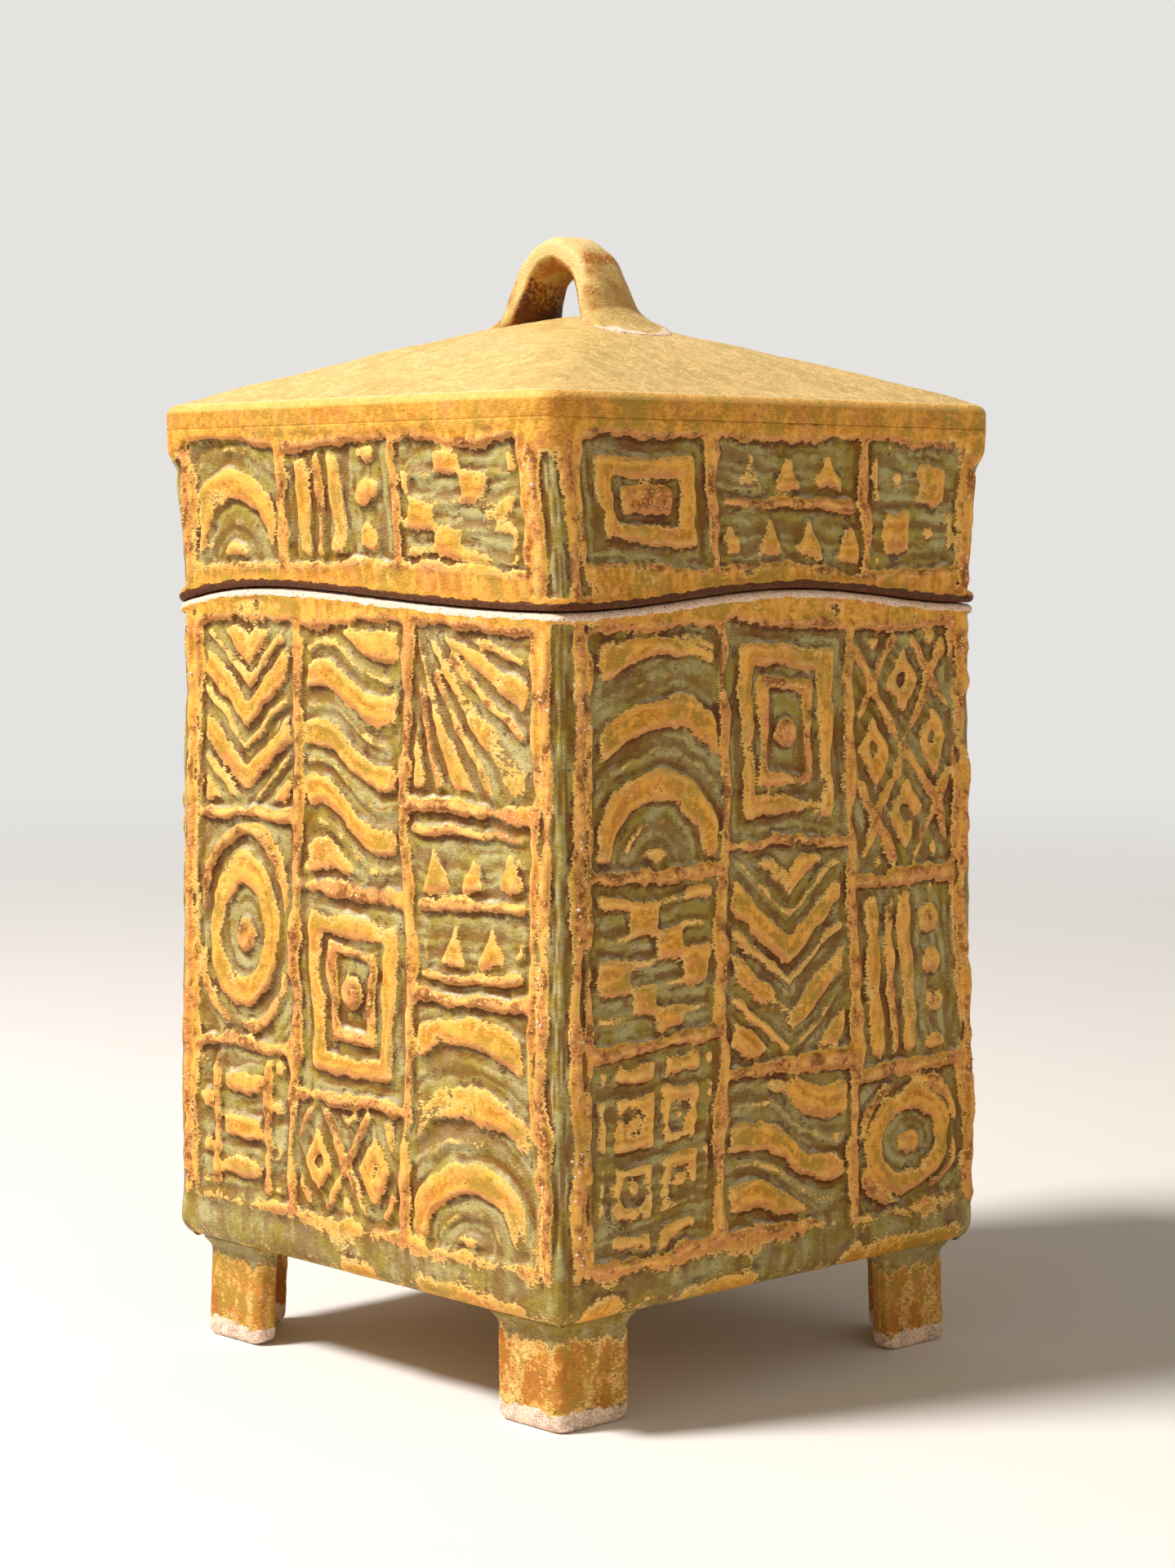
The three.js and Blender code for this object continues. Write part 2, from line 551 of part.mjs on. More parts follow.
// The strap of clay that arches over the apex, spread at both ends, cut to sit on the roof.
function pulledHandle() {
  const leg = (HANDLE_OPENING + HANDLE_THICKNESS) / 2;
  const crown = ROOF_APEX + HANDLE_HEIGHT - HANDLE_THICKNESS / 2;
  // The arch from its top to one toe, towards -X or +X: the strap's middle line and half sizes.
  const halfArch = (towards) => {
    const station = (reach, z, width, thick) => ({ x: HANDLE_SHIFT + towards * reach, z, width, thick });
    const onRoof = (reach, lift, width, thick) =>
      station(reach, roofAt(Math.abs(HANDLE_SHIFT + towards * reach)) + lift, width, thick);
    const spread = mix(leg, TOE_REACH, 0.62);
    return [
      station(0.7 * leg, mix(ROOF_APEX, crown, 0.78), HANDLE_WIDTH / 2, 0.53 * HANDLE_THICKNESS),
      station(1.04 * leg, mix(ROOF_APEX, crown, 0.42), 0.54 * HANDLE_WIDTH, 0.62 * HANDLE_THICKNESS),
      onRoof(1.32 * leg, 0.45 * TOE_THICKNESS, 0.4 * TOE_WIDTH, 1.15 * TOE_THICKNESS),
      onRoof(spread, 0, 0.5 * TOE_WIDTH, 0.55 * TOE_THICKNESS),
      onRoof(TOE_REACH, -0.2 * TOE_THICKNESS, 0.25 * TOE_WIDTH, TOE_THICKNESS / 4),
    ];
  };
  const top = { x: HANDLE_SHIFT, z: crown, width: HANDLE_WIDTH / 2, thick: HANDLE_THICKNESS / 2 };
  const stations = [...halfArch(-1).reverse(), top, ...halfArch(1)];
  const middle = new THREE.CatmullRomCurve3(stations.map((s) => new THREE.Vector3(s.x, 0, s.z)));
  const sizes = new THREE.CatmullRomCurve3(stations.map((s) => new THREE.Vector3(s.width, s.thick, 0)));
  const steps = 40;
  const around = 16;
  const loops = [];
  for (let step = 0; step <= steps; step++) {
    const here = middle.getPoint(step / steps);
    const ahead = middle.getTangent(step / steps);
    const size = sizes.getPoint(step / steps);
    const loop = [];
    for (let i = 0; i < around; i++) {
      const turn = (i / around) * 2 * Math.PI;
      const rise = size.y * Math.sin(turn);
      const across = size.x * Math.cos(turn);
      loop.push(new THREE.Vector3(here.x - ahead.z * rise, across, here.z + ahead.x * rise));
    }
    loops.push(loop);
  }
  const strap = solidOf(loft(loops, middle.getPoint(0), middle.getPoint(1)));
  const rings = [squareLoop(EAVE_WIDTH / 2, CORNER_RADIUS, ROOF_UNDERSIDE), ...roofRings(LUTE)];
  const hubs = [new THREE.Vector3(0, 0, ROOF_UNDERSIDE), new THREE.Vector3(0, 0, ROOF_APEX + LUTE)];
  const seated = strap.subtract(solidOf(loft(rings, hubs[0], hubs[1])));
  const pieces = seated.decompose().sort((a, b) => b.volume() - a.volume());
  return geometryOf(pieces[0]);
}

// Adds a named piece to a group, turned by quarter turns about Z.
function place(group, name, geometry, material, quarters = 0) {
  const mesh = new THREE.Mesh(geometry, material);
  mesh.name = name;
  mesh.rotation.z = quarters * QUARTER;
  geometry.computeVertexNormals();
  group.add(mesh);
}

const box = new THREE.Group();
place(box, "floor_slab", floorSlab(), ochreGlaze);
const lid = new THREE.Group();
place(lid, "lid_roof", roofSlab(), strawGlaze);
place(lid, "handle", pulledHandle(), strawGlaze);

SIDES.forEach((side, quarters) => {
  const rim = (share) => seamAt(side, share);
  const lidEdge = (share) => seamAt(side, share) + SEAM_CLEARANCE;
  const onFloor = () => FLOOR_TOP;
  const underRoof = () => ROOF_UNDERSIDE - LUTE;
  const boxField = [FOOT_HEIGHT + BOX_FIELD_FOOT, SEAM_CORNER - BOX_FIELD_HEAD];
  const lidField = [SEAM_CORNER + SEAM_RISE + LID_FIELD_FOOT, ROOF_UNDERSIDE - LID_FIELD_HEAD];
  const boxSlab = wallSlab(boxHalf, onFloor, rim);
  const lidSlab = wallSlab(lidHalf, lidEdge, underRoof);
  const boxWall = pressPatchwork(boxSlab, boxHalf, boxField, BOX_PANELS[side]);
  const lidWall = pressPatchwork(lidSlab, lidHalf, lidField, LID_PANELS[side]);
  place(box, `wall_${side}`, boxWall, ochreGlaze, quarters);
  place(lid, `lid_wall_${side}`, lidWall, ochreGlaze, quarters);
  place(box, `floor_coil_${side}`, floorCoil(), linerGlaze, quarters);
});

["front_right", "back_right", "back_left", "front_left"].forEach((corner, quarters) => {
  const boxEnds = [FLOOR_TOP, SEAM_CORNER - COIL_END_GAP];
  const lidEnds = [SEAM_CORNER + COIL_END_GAP, ROOF_UNDERSIDE - LUTE];
  place(box, `foot_${corner}`, bracketFoot(), ochreGlaze, quarters);
  place(box, `corner_coil_${corner}`, cornerCoil(boxHalf, boxEnds), linerGlaze, quarters);
  place(lid, `lid_coil_${corner}`, cornerCoil(lidHalf, lidEnds), linerGlaze, quarters);
});

const jar = new THREE.Group();
jar.add(box, lid);

export default jar;
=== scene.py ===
"""A glazed, slab-built lidded box: relief walls, smoothed roof, pulled handle, bracket feet."""

import math

import bpy
import numpy as np
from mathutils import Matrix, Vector


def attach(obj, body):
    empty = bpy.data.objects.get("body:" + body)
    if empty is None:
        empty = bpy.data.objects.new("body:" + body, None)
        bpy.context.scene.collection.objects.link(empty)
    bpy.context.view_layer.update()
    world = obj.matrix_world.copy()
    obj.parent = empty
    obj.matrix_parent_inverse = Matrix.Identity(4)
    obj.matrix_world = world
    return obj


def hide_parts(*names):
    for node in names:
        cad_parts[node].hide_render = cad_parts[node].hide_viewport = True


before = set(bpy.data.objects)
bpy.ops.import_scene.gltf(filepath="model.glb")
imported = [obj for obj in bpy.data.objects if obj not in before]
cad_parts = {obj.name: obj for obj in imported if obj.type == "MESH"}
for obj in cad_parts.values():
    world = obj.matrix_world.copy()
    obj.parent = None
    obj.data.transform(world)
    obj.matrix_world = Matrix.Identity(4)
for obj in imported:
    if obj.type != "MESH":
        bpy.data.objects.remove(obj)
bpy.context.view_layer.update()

# Sizes in millimetres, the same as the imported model's.
MM = 0.001
SEAM_WIDTH = 119.0
BASE_WIDTH = 122.0
EAVE_WIDTH = 122.0
WALL = 5.5
FLOOR_TOP = 27.2
FOOT_HEIGHT = 20.7
FOOT_INSET = 6.2
FOOT_REACH = 18.5
FOOT_SLAB = 5.2
SEAM_CORNER = 153.7
SEAM_RISE = 3.6
SEAM_GAP = 0.3
SEAM_CRESTS = (0.27, 0.53, 0.4, 0.62)
ROOF_UNDERSIDE = 189.3
EAVE = 193.9
ROOF_RISE = 18.8
ROOF_CROWN = 1.35
APEX = EAVE + ROOF_RISE
HANDLE_RISE = 16.2
HANDLE_THICK = 5.4
LID_LEAN = 3.6
CORNER_RADIUS = 4.0
FLOOR_EDGE_RADIUS = 6.0
RIM_RADIUS = 1.3
LIP_RADIUS = 1.1
INNER_RADIUS = 1.0
COIL_RADIUS = 2.05
SIDES = ("front", "right", "back", "left")
CORNERS = ("front_right", "back_right", "back_left", "front_left")

# The wall surface unrolled: the middle height's straight run and half of each corner's arc.
STRAIGHT_RUN = (BASE_WIDTH + SEAM_WIDTH) / 4 - CORNER_RADIUS
HALF_RUN = STRAIGHT_RUN + CORNER_RADIUS * math.pi / 4
ROUND_RUN = 8 * HALF_RUN

# Relief levels, from 0 in the pooled grooves to 1 on the ridges.
RAISED = 0.68
FAINT = 0.42
RELIEF_DEPTH = 2.1


# Numbers

def smooth(low, high, value):
    """Eases from 0 at low to 1 at high."""
    share = np.clip((value - low) / (high - low), 0.0, 1.0)
    return share * share * (3 - 2 * share)


def mix(a, b, share):
    return a + (b - a) * share


def cloud(x, y, size, seed, wrap=0.0):
    """Smooth noise from -1 to 1 with blotches of the given size; it repeats in x after wrap."""
    across = max(1, round(wrap / size)) if wrap else 199
    table = np.random.default_rng(seed).uniform(-1, 1, (211, across))
    gx = np.asarray(x, float) * (across / wrap if wrap else 1 / size)
    gy = np.asarray(y, float) / size
    x0, y0 = np.floor(gx).astype(int), np.floor(gy).astype(int)
    fx, fy = smooth(0, 1, gx - x0), smooth(0, 1, gy - y0)
    x1, y1 = (x0 + 1) % across, (y0 + 1) % 211
    x0, y0 = x0 % across, y0 % 211
    return mix(mix(table[y0, x0], table[y0, x1], fx), mix(table[y1, x0], table[y1, x1], fx), fy)


def box_half(z):
    return mix(BASE_WIDTH, SEAM_WIDTH, (z - FOOT_HEIGHT) / (SEAM_CORNER - FOOT_HEIGHT)) / 2


def lid_half(z):
    return mix(SEAM_WIDTH, EAVE_WIDTH, (z - SEAM_CORNER) / (ROOF_UNDERSIDE - SEAM_CORNER)) / 2


def roof_at(width):
    return EAVE + ROOF_RISE * (1 - np.clip(width / (EAVE_WIDTH / 2), 0, 1) ** ROOF_CROWN)


def seam_at(side, share):
    """Height of the wavy cut at a share of one wall's length, from its left end."""
    skew = math.log(0.5) / math.log(SEAM_CRESTS[side])
    return SEAM_CORNER + SEAM_RISE * np.sin(np.pi * np.clip(share, 0, 1) ** skew) ** 2


# Ornament

def band(distance, half, edge=0.45):
    """1 within half of a line and 0 away from it, with a soft edge."""
    return smooth(half + edge, half - edge, np.abs(distance))


def stripes(value, pitch, width, edge=0.45, shift=0.0):
    """Raised stripes of a width, one every pitch."""
    return band((value - shift + pitch / 2) % pitch - pitch / 2, width / 2, edge)


def pairs(value, pitch, wide, thin, shift, level=FAINT, start=0.0):
    """Wide raised stripes, one every pitch, with a thin one between each two."""
    return np.maximum(RAISED * stripes(value, pitch, wide, shift=start),
                      level * stripes(value, pitch, thin, shift=shift))


# Each motif fills a panel: u and v run from its middle, a and b are its half sizes. It gives the
# height and the direction across the strokes, along which the tool has left its marks.

def chevrons(u, v, a, b):
    w = v - 0.85 * np.abs(u)
    return pairs(w, 13.5, 5.8, 1.5, 6.8, 0.8), w


def rings(u, v, a, b):
    r = np.hypot(u, v * a / b)
    height = [RAISED * band(r - 9.2, 2.4), band(r, 2.7), band(r - a + 2.0, 0.9), RAISED * (r > a + 3)]
    return np.maximum.reduce(height), r


def ribs(u, v, a, b):
    beads = np.hypot(u - a + 8.4, (v + 3) % 9.2 - 4.6)
    bosses = RAISED * smooth(3.6, 2.7, beads) + 0.32 * smooth(1.9, 1.1, beads)
    return np.where(u < a - 13.4, pairs(u, 10.2, 3.9, 1.5, 5.1, 1.0), bosses), u


def frames(u, v, a, b):
    edge = np.minimum(a - np.abs(u), b - np.abs(v))
    inner = np.maximum(RAISED * band(edge - 6.8, 2.0), band(edge - 12.0, 1.0))
    return np.maximum(inner, smooth(3.4, 2.2, np.hypot(u, v))), edge


def tiles(u, v, a, b):
    pitch = 13.2
    x, y = u % pitch - pitch / 2, v % pitch - pitch / 2
    reach = np.maximum(np.abs(x), np.abs(y))
    boss = smooth(1.9, 1.2, np.hypot(x, y))
    return RAISED * smooth(5.8, 4.9, reach) * (1 - 0.75 * smooth(3.4, 2.8, reach) * (1 - boss)), v


def teeth(u, v, a, b):
    tall = 13.6
    row = v % tall
    slope = np.abs((u + 5.4 * (np.floor(v / tall) % 2)) % 10.8 - 5.4) * 2.0
    points = RAISED * smooth(-0.6, 0.6, slope - row - 0.2) * smooth(2.2, 3.0, row)
    return np.maximum(points, stripes(v, tall, 1.8)), row


def ladder(u, v, a, b):
    rails = band(np.abs(u) - a * 0.52, 1.1)
    rungs = RAISED * stripes(v, 8.8, 4.0) * smooth(a * 0.52 - 1.8, a * 0.52 - 2.8, np.abs(u))
    outer = RAISED * stripes(v + 4.4, 8.8, 3.8) * smooth(a * 0.52 + 1.8, a * 0.52 + 2.8, np.abs(u))
    return np.maximum.reduce([rails, rungs, outer]), v


def lozenges(u, v, a, b):
    p, q = u + 0.62 * v, u - 0.62 * v
    size = 17.0
    x, y = p % size - size / 2, q % size - size / 2
    lines = np.maximum(stripes(p, size, 1.8), stripes(q, size, 1.8))
    kernel = RAISED * smooth(5.0, 4.1, np.maximum(np.abs(x), np.abs(y)))
    dent = smooth(2.2, 1.3, np.hypot(x, y))
    return np.maximum(lines, kernel * (1 - 0.9 * dent)), p


def arches(u, v, a, b):
    r = np.hypot(u, (v + b) * 0.92)
    return pairs(r, 12.6, 5.6, 1.6, 8.7, FAINT * (r > 6), 2.4), r


def rays(u, v, a, b):
    turn = np.degrees(np.arctan2(u + a, b + 4 - v))
    reach = np.hypot(u + a, b + 4 - v)
    pitch = 19.0
    offset = np.radians(np.abs((turn + 4) % pitch - pitch / 2)) * reach
    wide = RAISED * smooth(0.5, -0.5, offset - 0.07 * reach)
    between = np.radians(np.abs((turn + 4 + pitch / 2) % pitch - pitch / 2)) * reach
    return np.maximum(wide, smooth(0.5, -0.5, between - 0.8) * (reach > 16)), turn * 0.5


def waves(u, v, a, b):
    w = v + 2.6 * np.sin(u / 5.6) + 0.14 * u
    return pairs(w, 12.2, 5.6, 1.6, 6.2), w


def checks(u, v, a, b):
    pitch = 9.4
    odd = (np.floor(u / pitch) + np.floor(v / pitch)) % 2 == 0
    x, y = np.abs(u % pitch - pitch / 2), np.abs(v % pitch - pitch / 2)
    block = smooth(4.5, 3.6, np.maximum(x, y))
    return np.where(odd, RAISED * block, 0.5 * smooth(2.4, 1.5, np.hypot(x, y))), v


def steps(u, v, a, b):
    w = v + 5.4 * np.floor(u / 7.8)
    return pairs(w, 16.2, 6.8, 1.8, 11.6, start=3.6), w


# The patchwork's edges: half its width from a wall's middle, and its foot and head.
FIELD_HALF = 52.5
BOX_FIELD = (FOOT_HEIGHT + 10.3, SEAM_CORNER - 2.2)
LID_FIELD = (SEAM_CORNER + SEAM_RISE + 3.3, ROOF_UNDERSIDE - 1.9)

# The panels of each wall, column by column from the left. A column gives its right edge, as a share
# of the patchwork's width, then each panel's head, as a share of its height, and its motif, going up.
BOX_PANELS = (
    ((.32, .27, ladder, .66, rings, 1, chevrons), (.65, .21, lozenges, .56, frames, 1, waves),
     (1, .41, arches, .71, teeth, 1, rays)),
    ((.35, .34, tiles, .61, steps, 1, arches), (.7, .27, waves, .64, chevrons, 1, frames),
     (1, .24, rings, .57, ribs, 1, lozenges)),
    ((.33, .39, frames, .72, lozenges, 1, ribs), (.68, .24, chevrons, .61, rays, 1, rings),
     (1, .32, teeth, .67, waves, 1, tiles)),
    ((.36, .31, arches, .62, ladder, 1, rays), (.69, .36, rings, .66, tiles, 1, teeth),
     (1, .22, steps, .59, chevrons, 1, frames)),
)
LID_PANELS = (
    ((.29, 1, arches), (.62, 1, ribs), (1, 1, steps)),
    ((.33, 1, frames), (.73, 1, teeth), (1, 1, checks)),
    ((.37, 1, waves), (.71, 1, lozenges), (1, 1, rings)),
    ((.31, 1, checks), (.67, 1, chevrons), (1, 1, tiles)),
)


def panels(columns, low, high):
    """Left, right, foot and head of each panel, in millimetres, and its motif."""
    left = 0
    for right, *stack in columns:
        bottom = 0
        for top, motif in zip(stack[::2], stack[1::2]):
            yield (mix(-FIELD_HALF, FIELD_HALF, left), mix(-FIELD_HALF, FIELD_HALF, right),
                   mix(low, high, bottom), mix(low, high, top), motif)
            bottom = top
        left = right


class Relief:
    """Height, edges and hollows of the unrolled walls, as a grid that is read between its points."""

    LOW, HIGH, CELL = 20.0, 192.0, 0.36

    def __init__(self):
        self.across = round(ROUND_RUN / self.CELL)
        self.rows = round((self.HIGH - self.LOW) / self.CELL)
        s, z = np.meshgrid(np.arange(self.across) * ROUND_RUN / self.across,
                           self.LOW + np.arange(self.rows) * self.CELL)
        height, strokes, crest, bead = self.ornament(s, z)
        height = self.blur(height, 1)
        wide = self.blur(height, 4)
        soft = self.blur(height, 2)
        climb = np.gradient(soft, axis=0) / self.CELL
        self.fields = {"relief": height, "soft": soft, "arris": np.clip((height - wide) * 2.4, -1, 1),
                       "shelf": np.clip(-2.2 * climb, -1, 1), "strokes": strokes,
                       "crest": self.blur(crest, 1), "bead": bead}

    def blur(self, field, reach):
        """Averages each point with its neighbours, round the box and up and down, twice."""
        for _ in range(2):
            field = sum(np.roll(field, k, 1) for k in range(-reach, reach + 1)) / (2 * reach + 1)
            padded = np.pad(field, ((reach, reach), (0, 0)), mode="edge")
            field = sum(padded[k:k + self.rows] for k in range(2 * reach + 1)) / (2 * reach + 1)
        return field

    def ornament(self, s, z):
        """Height, tool marks, crests and the share of beads at each point of the walls."""
        noise = lambda size, seed: cloud(s, z, size, seed, ROUND_RUN)
        wander = lambda seed: (1.4 * noise(23, seed) + 0.6 * noise(6.3, seed + 1)
                               + 0.42 * noise(2.3, seed + 2) + 0.2 * noise(0.9, seed + 3))
        slide, level = wander(11), z + wander(21)
        side = np.minimum(s // (2 * HALF_RUN), 3).astype(int)
        p = s - (2 * side + 1) * HALF_RUN + slide
        height = np.full(s.shape, RAISED)
        marks = cloud(s, z / 6, 0.9, 36, ROUND_RUN)
        thick = 1.15 + 0.6 * noise(11, 30) + 0.25 * noise(3, 29)
        for k in range(4):
            for x0, x1, z0, z1, motif in [*panels(BOX_PANELS[k], *BOX_FIELD),
                                          *panels(LID_PANELS[k], *LID_FIELD)]:
                here = (side == k) & (p > x0) & (p <= x1) & (level > z0) & (level <= z1)
                a, b = (x1 - x0) / 2, (z1 - z0) / 2
                u, v = p[here] - x0 - a, level[here] - z0 - b
                edge = np.minimum(a - np.abs(u), b - np.abs(v))
                figure, across = motif(u, v, a, b)
                line = thick[here]
                frame_line = 1 - smooth(line - 0.45, line + 0.45, edge)
                height[here] = np.maximum(figure * smooth(line + 1.1, line + 2.2, edge), frame_line)
                inside = smooth(1.5, 3.0, edge)
                marks[here] = mix(marks[here], cloud(across, (u + v) / 9, 0.85, 36), inside)
        # Between the panels' frames and the corner's own pair of ridges.
        corner = (s + slide) % (2 * HALF_RUN)
        corner = np.minimum(corner, 2 * HALF_RUN - corner)
        height = np.where(corner < 6.9, band(corner - 4.7, 1.35 + 0.3 * noise(8, 39)), height)
        # Ridges stand full here and sink to the ground's level there.
        crest = smooth(RAISED + 0.03, 0.86, height)
        beside_corner = smooth(1.3, 0.7, np.abs(corner - 4.7))
        strength = smooth(-0.45, 0.35, noise(9.5, 26) + 0.35 * noise(3.1, 27))
        height = np.minimum(height, RAISED) + np.maximum(height - RAISED, 0) * (0.15 + 0.85 * strength)
        worn = smooth(0.25, 0.75, noise(8.5, 32) + 0.3 * noise(2.6, 40))
        height = height * (1 - 0.34 * worn) * (0.94 + 0.06 * noise(5, 31))
        height = height + (1 - height) * (0.10 + 0.12 * noise(8, 33))
        # The tool's marks, lumps left by the hand, and the smooth roll at the foot.
        foot = smooth(33.5, 27.0, z + 1.8 * noise(7, 37))
        marks = mix(marks, 0.3 * marks + 0.45 * noise(3.4, 46), foot)
        height += (0.09 + 0.11 * (1 - height)) * marks + 0.04 * noise(0.9, 34) + 0.06 * noise(2.6, 35)
        patches = smooth(-0.1, 0.35, noise(12, 38) + 0.35 * noise(2.9, 41))
        lower = smooth(26.2, 23.4, z + 0.9 * noise(6, 42))
        rolled = 0.2 + 0.1 * patches + 0.34 * lower * (0.45 + 0.55 * patches) + 0.05 * marks
        height = mix(height, rolled, foot)
        crest = crest * (1 - foot)
        strewn = smooth(0.15, 0.6, noise(7, 44) + 0.3 * noise(2, 45))
        bead = crest * (0.03 + 0.97 * beside_corner) * (0.03 + 0.97 * strewn) * smooth(0.66, 0.78, height)
        return np.clip(height, 0, 1), marks, crest, bead

    def glaze_marks(self, s, z, share=0.0, level=0.7):
        """What the glaze needs to know at a place, faded to a plain level by a share."""
        return {name: mix(self.read(name, s, z), level if name in ("relief", "soft") else 0.0, share)
                for name in self.fields}

    def read(self, name, s, z):
        """A field's value at run s and height z."""
        field = self.fields[name]
        gx = (s / ROUND_RUN * self.across) % self.across
        gy = np.clip((z - self.LOW) / self.CELL, 0, self.rows - 1.001)
        x0, y0 = np.floor(gx).astype(int), np.floor(gy).astype(int)
        fx, fy = gx - x0, gy - y0
        x0, x1 = x0 % self.across, (x0 + 1) % self.across
        low = mix(field[y0, x0], field[y0, x1], fx)
        return mix(low, mix(field[y0 + 1, x0], field[y0 + 1, x1], fx), fy)


# Meshes

MARKS = ("relief", "soft", "arris", "shelf", "strokes", "crest", "bead", "clay", "brown", "amber")


def put(name, data):
    """A new object in the scene, for a mesh, a lamp or the camera."""
    obj = bpy.data.objects.new(name, data)
    bpy.context.scene.collection.objects.link(obj)
    return obj


def drawn(items, key, width=1, kind=np.float32):
    """One value, or one row of values, for each item of a mesh."""
    values = np.zeros(len(items) * width, kind)
    items.foreach_get(key, values)
    return values.reshape(-1, width) if width > 1 else values


def piece(name, points, faces, caps, materials, marks, inner=None, sharp=None):
    """A mesh object from points in millimetres, with its marks as point attributes."""
    mesh = bpy.data.meshes.new(name)
    mesh.vertices.add(len(points))
    mesh.vertices.foreach_set("co", (np.asarray(points, float) * MM).astype(np.float32).ravel())
    corners = np.concatenate([faces.ravel(), *caps]).astype(np.int32)
    mesh.loops.add(len(corners))
    mesh.loops.foreach_set("vertex_index", corners)
    sizes = [4] * len(faces) + [len(cap) for cap in caps]
    mesh.polygons.add(len(sizes))
    mesh.polygons.foreach_set("loop_start", np.cumsum([0] + sizes[:-1]).astype(np.int32))
    mesh.polygons.foreach_set("use_smooth", [sharp is None or k < len(faces) for k in range(len(sizes))])
    for material in materials:
        mesh.materials.append(material)
    if inner is not None:
        index = np.concatenate([inner, np.zeros(len(caps))]).astype(np.int32)
        mesh.polygons.foreach_set("material_index", index)
    mesh.update(calc_edges=True)
    for key, values in {**marks, "soft": marks.get("soft", marks["relief"])}.items():
        attribute = mesh.attributes.new(key, "FLOAT", "POINT")
        attribute.data.foreach_set("value", np.asarray(values, np.float32).ravel())
    if sharp is not None:
        on_end = np.isin(drawn(mesh.edges, "vertices", 2, np.int32), sharp).all(1)
        mesh.attributes.new("sharp_edge", "BOOLEAN", "EDGE").data.foreach_set("value", on_end)
    mesh.validate()
    return put(name, mesh)


def quads_of(rows, count, closed_rows, closed_columns):
    """Quads of a grid of points numbered row by row."""
    r = np.arange(rows if closed_rows else rows - 1)
    c = np.arange(count if closed_columns else count - 1)
    r, c = np.meshgrid(r, c, indexing="ij")
    r1, c1 = (r + 1) % rows, (c + 1) % count
    return np.stack([r * count + c, r * count + c1, r1 * count + c1, r1 * count + c], -1).reshape(-1, 4)


def turned(points, quarters):
    """Turns points by quarter turns about Z."""
    x, y, z = points[..., 0], points[..., 1], points[..., 2]
    for _ in range(quarters):
        x, y = -y, x
    return np.stack([x, y, z], -1)


def leaned(points):
    """The lid's front corner leans in a little, as the hand-built one does."""
    x, y, z = points[..., 0], points[..., 1], points[..., 2]
    rise = np.clip((z - SEAM_CORNER - 3) / (EAVE - SEAM_CORNER - 3), 0, 1)
    half = EAVE_WIDTH / 2
    near = (x / half + 1) / 2 * (1 - y / half) / 2
    edge = smooth(0.3, 0.85, np.maximum(np.abs(x), np.abs(y)) / half)
    return np.stack([x - LID_LEAN * rise * near * edge, y, z], -1)


class Wall:
    """The columns of one wall, from mitre to mitre, with half of each rounded corner, and its rows."""

    STRAIGHT, ARC = 236, 9

    def __init__(self, side):
        self.side, self.rows = side, []
        turn = np.linspace(0, math.pi / 4, self.ARC + 1)[1:]
        ends = np.ones(self.ARC)
        self.turn = np.concatenate([turn[::-1], np.zeros(self.STRAIGHT), turn])
        self.along = np.concatenate([-ends, np.linspace(-1, 1, self.STRAIGHT), ends])
        self.sign = np.sign(self.along)
        self.run = self.along * STRAIGHT_RUN + self.sign * CORNER_RADIUS * self.turn
        self.s = (2 * side + 1) * HALF_RUN + self.run
        flat = SEAM_WIDTH / 2 - CORNER_RADIUS
        x = self.along * flat + self.sign * CORNER_RADIUS * np.sin(self.turn)
        self.share = x / x[-1]
        self.seam = seam_at(side, (self.share + 1) / 2)

    def noise(self, z, size, seed):
        return cloud(self.s, z + 0 * self.s, size, seed, ROUND_RUN)

    def outer(self, z, half, inset=0.0, **marks):
        """Adds a row on the outer face at a half width, moved in by an inset."""
        flat = half - CORNER_RADIUS
        radius = CORNER_RADIUS - inset
        x = self.along * flat + self.sign * radius * np.sin(self.turn)
        self.rows.append((x, -(flat + radius * np.cos(self.turn)), z, marks, False))

    def inner(self, z, half, lined=False, **marks):
        """Adds a row on the inner face at a half width, with the liner glaze or without."""
        self.rows.append((self.share * half, -half + 0 * self.share, z, marks, lined))

    def build(self, name, materials):
        """A closed slab from the rows, which go up outside and down inside."""
        count = len(self.run)
        points = turned(np.stack([np.stack([x, y, z + 0 * x], -1) for x, y, z, _, _ in self.rows]),
                        self.side)
        if name.startswith("lid"):
            points = leaned(points)
        rows = [{"soft": marks["relief"], **marks} for *_, marks, _ in self.rows]
        marks = {key: np.stack([row.get(key, 0.0) + 0 * self.run for row in rows]) for key in MARKS}
        inner = np.repeat([int(lined) for *_, lined in self.rows], count - 1)
        first = np.arange(len(rows)) * count
        last = first + count - 1
        return piece(name, points.reshape(-1, 3), quads_of(len(rows), count, True, False),
                     (first, last[::-1]), materials, marks, inner, np.concatenate([first, last]))


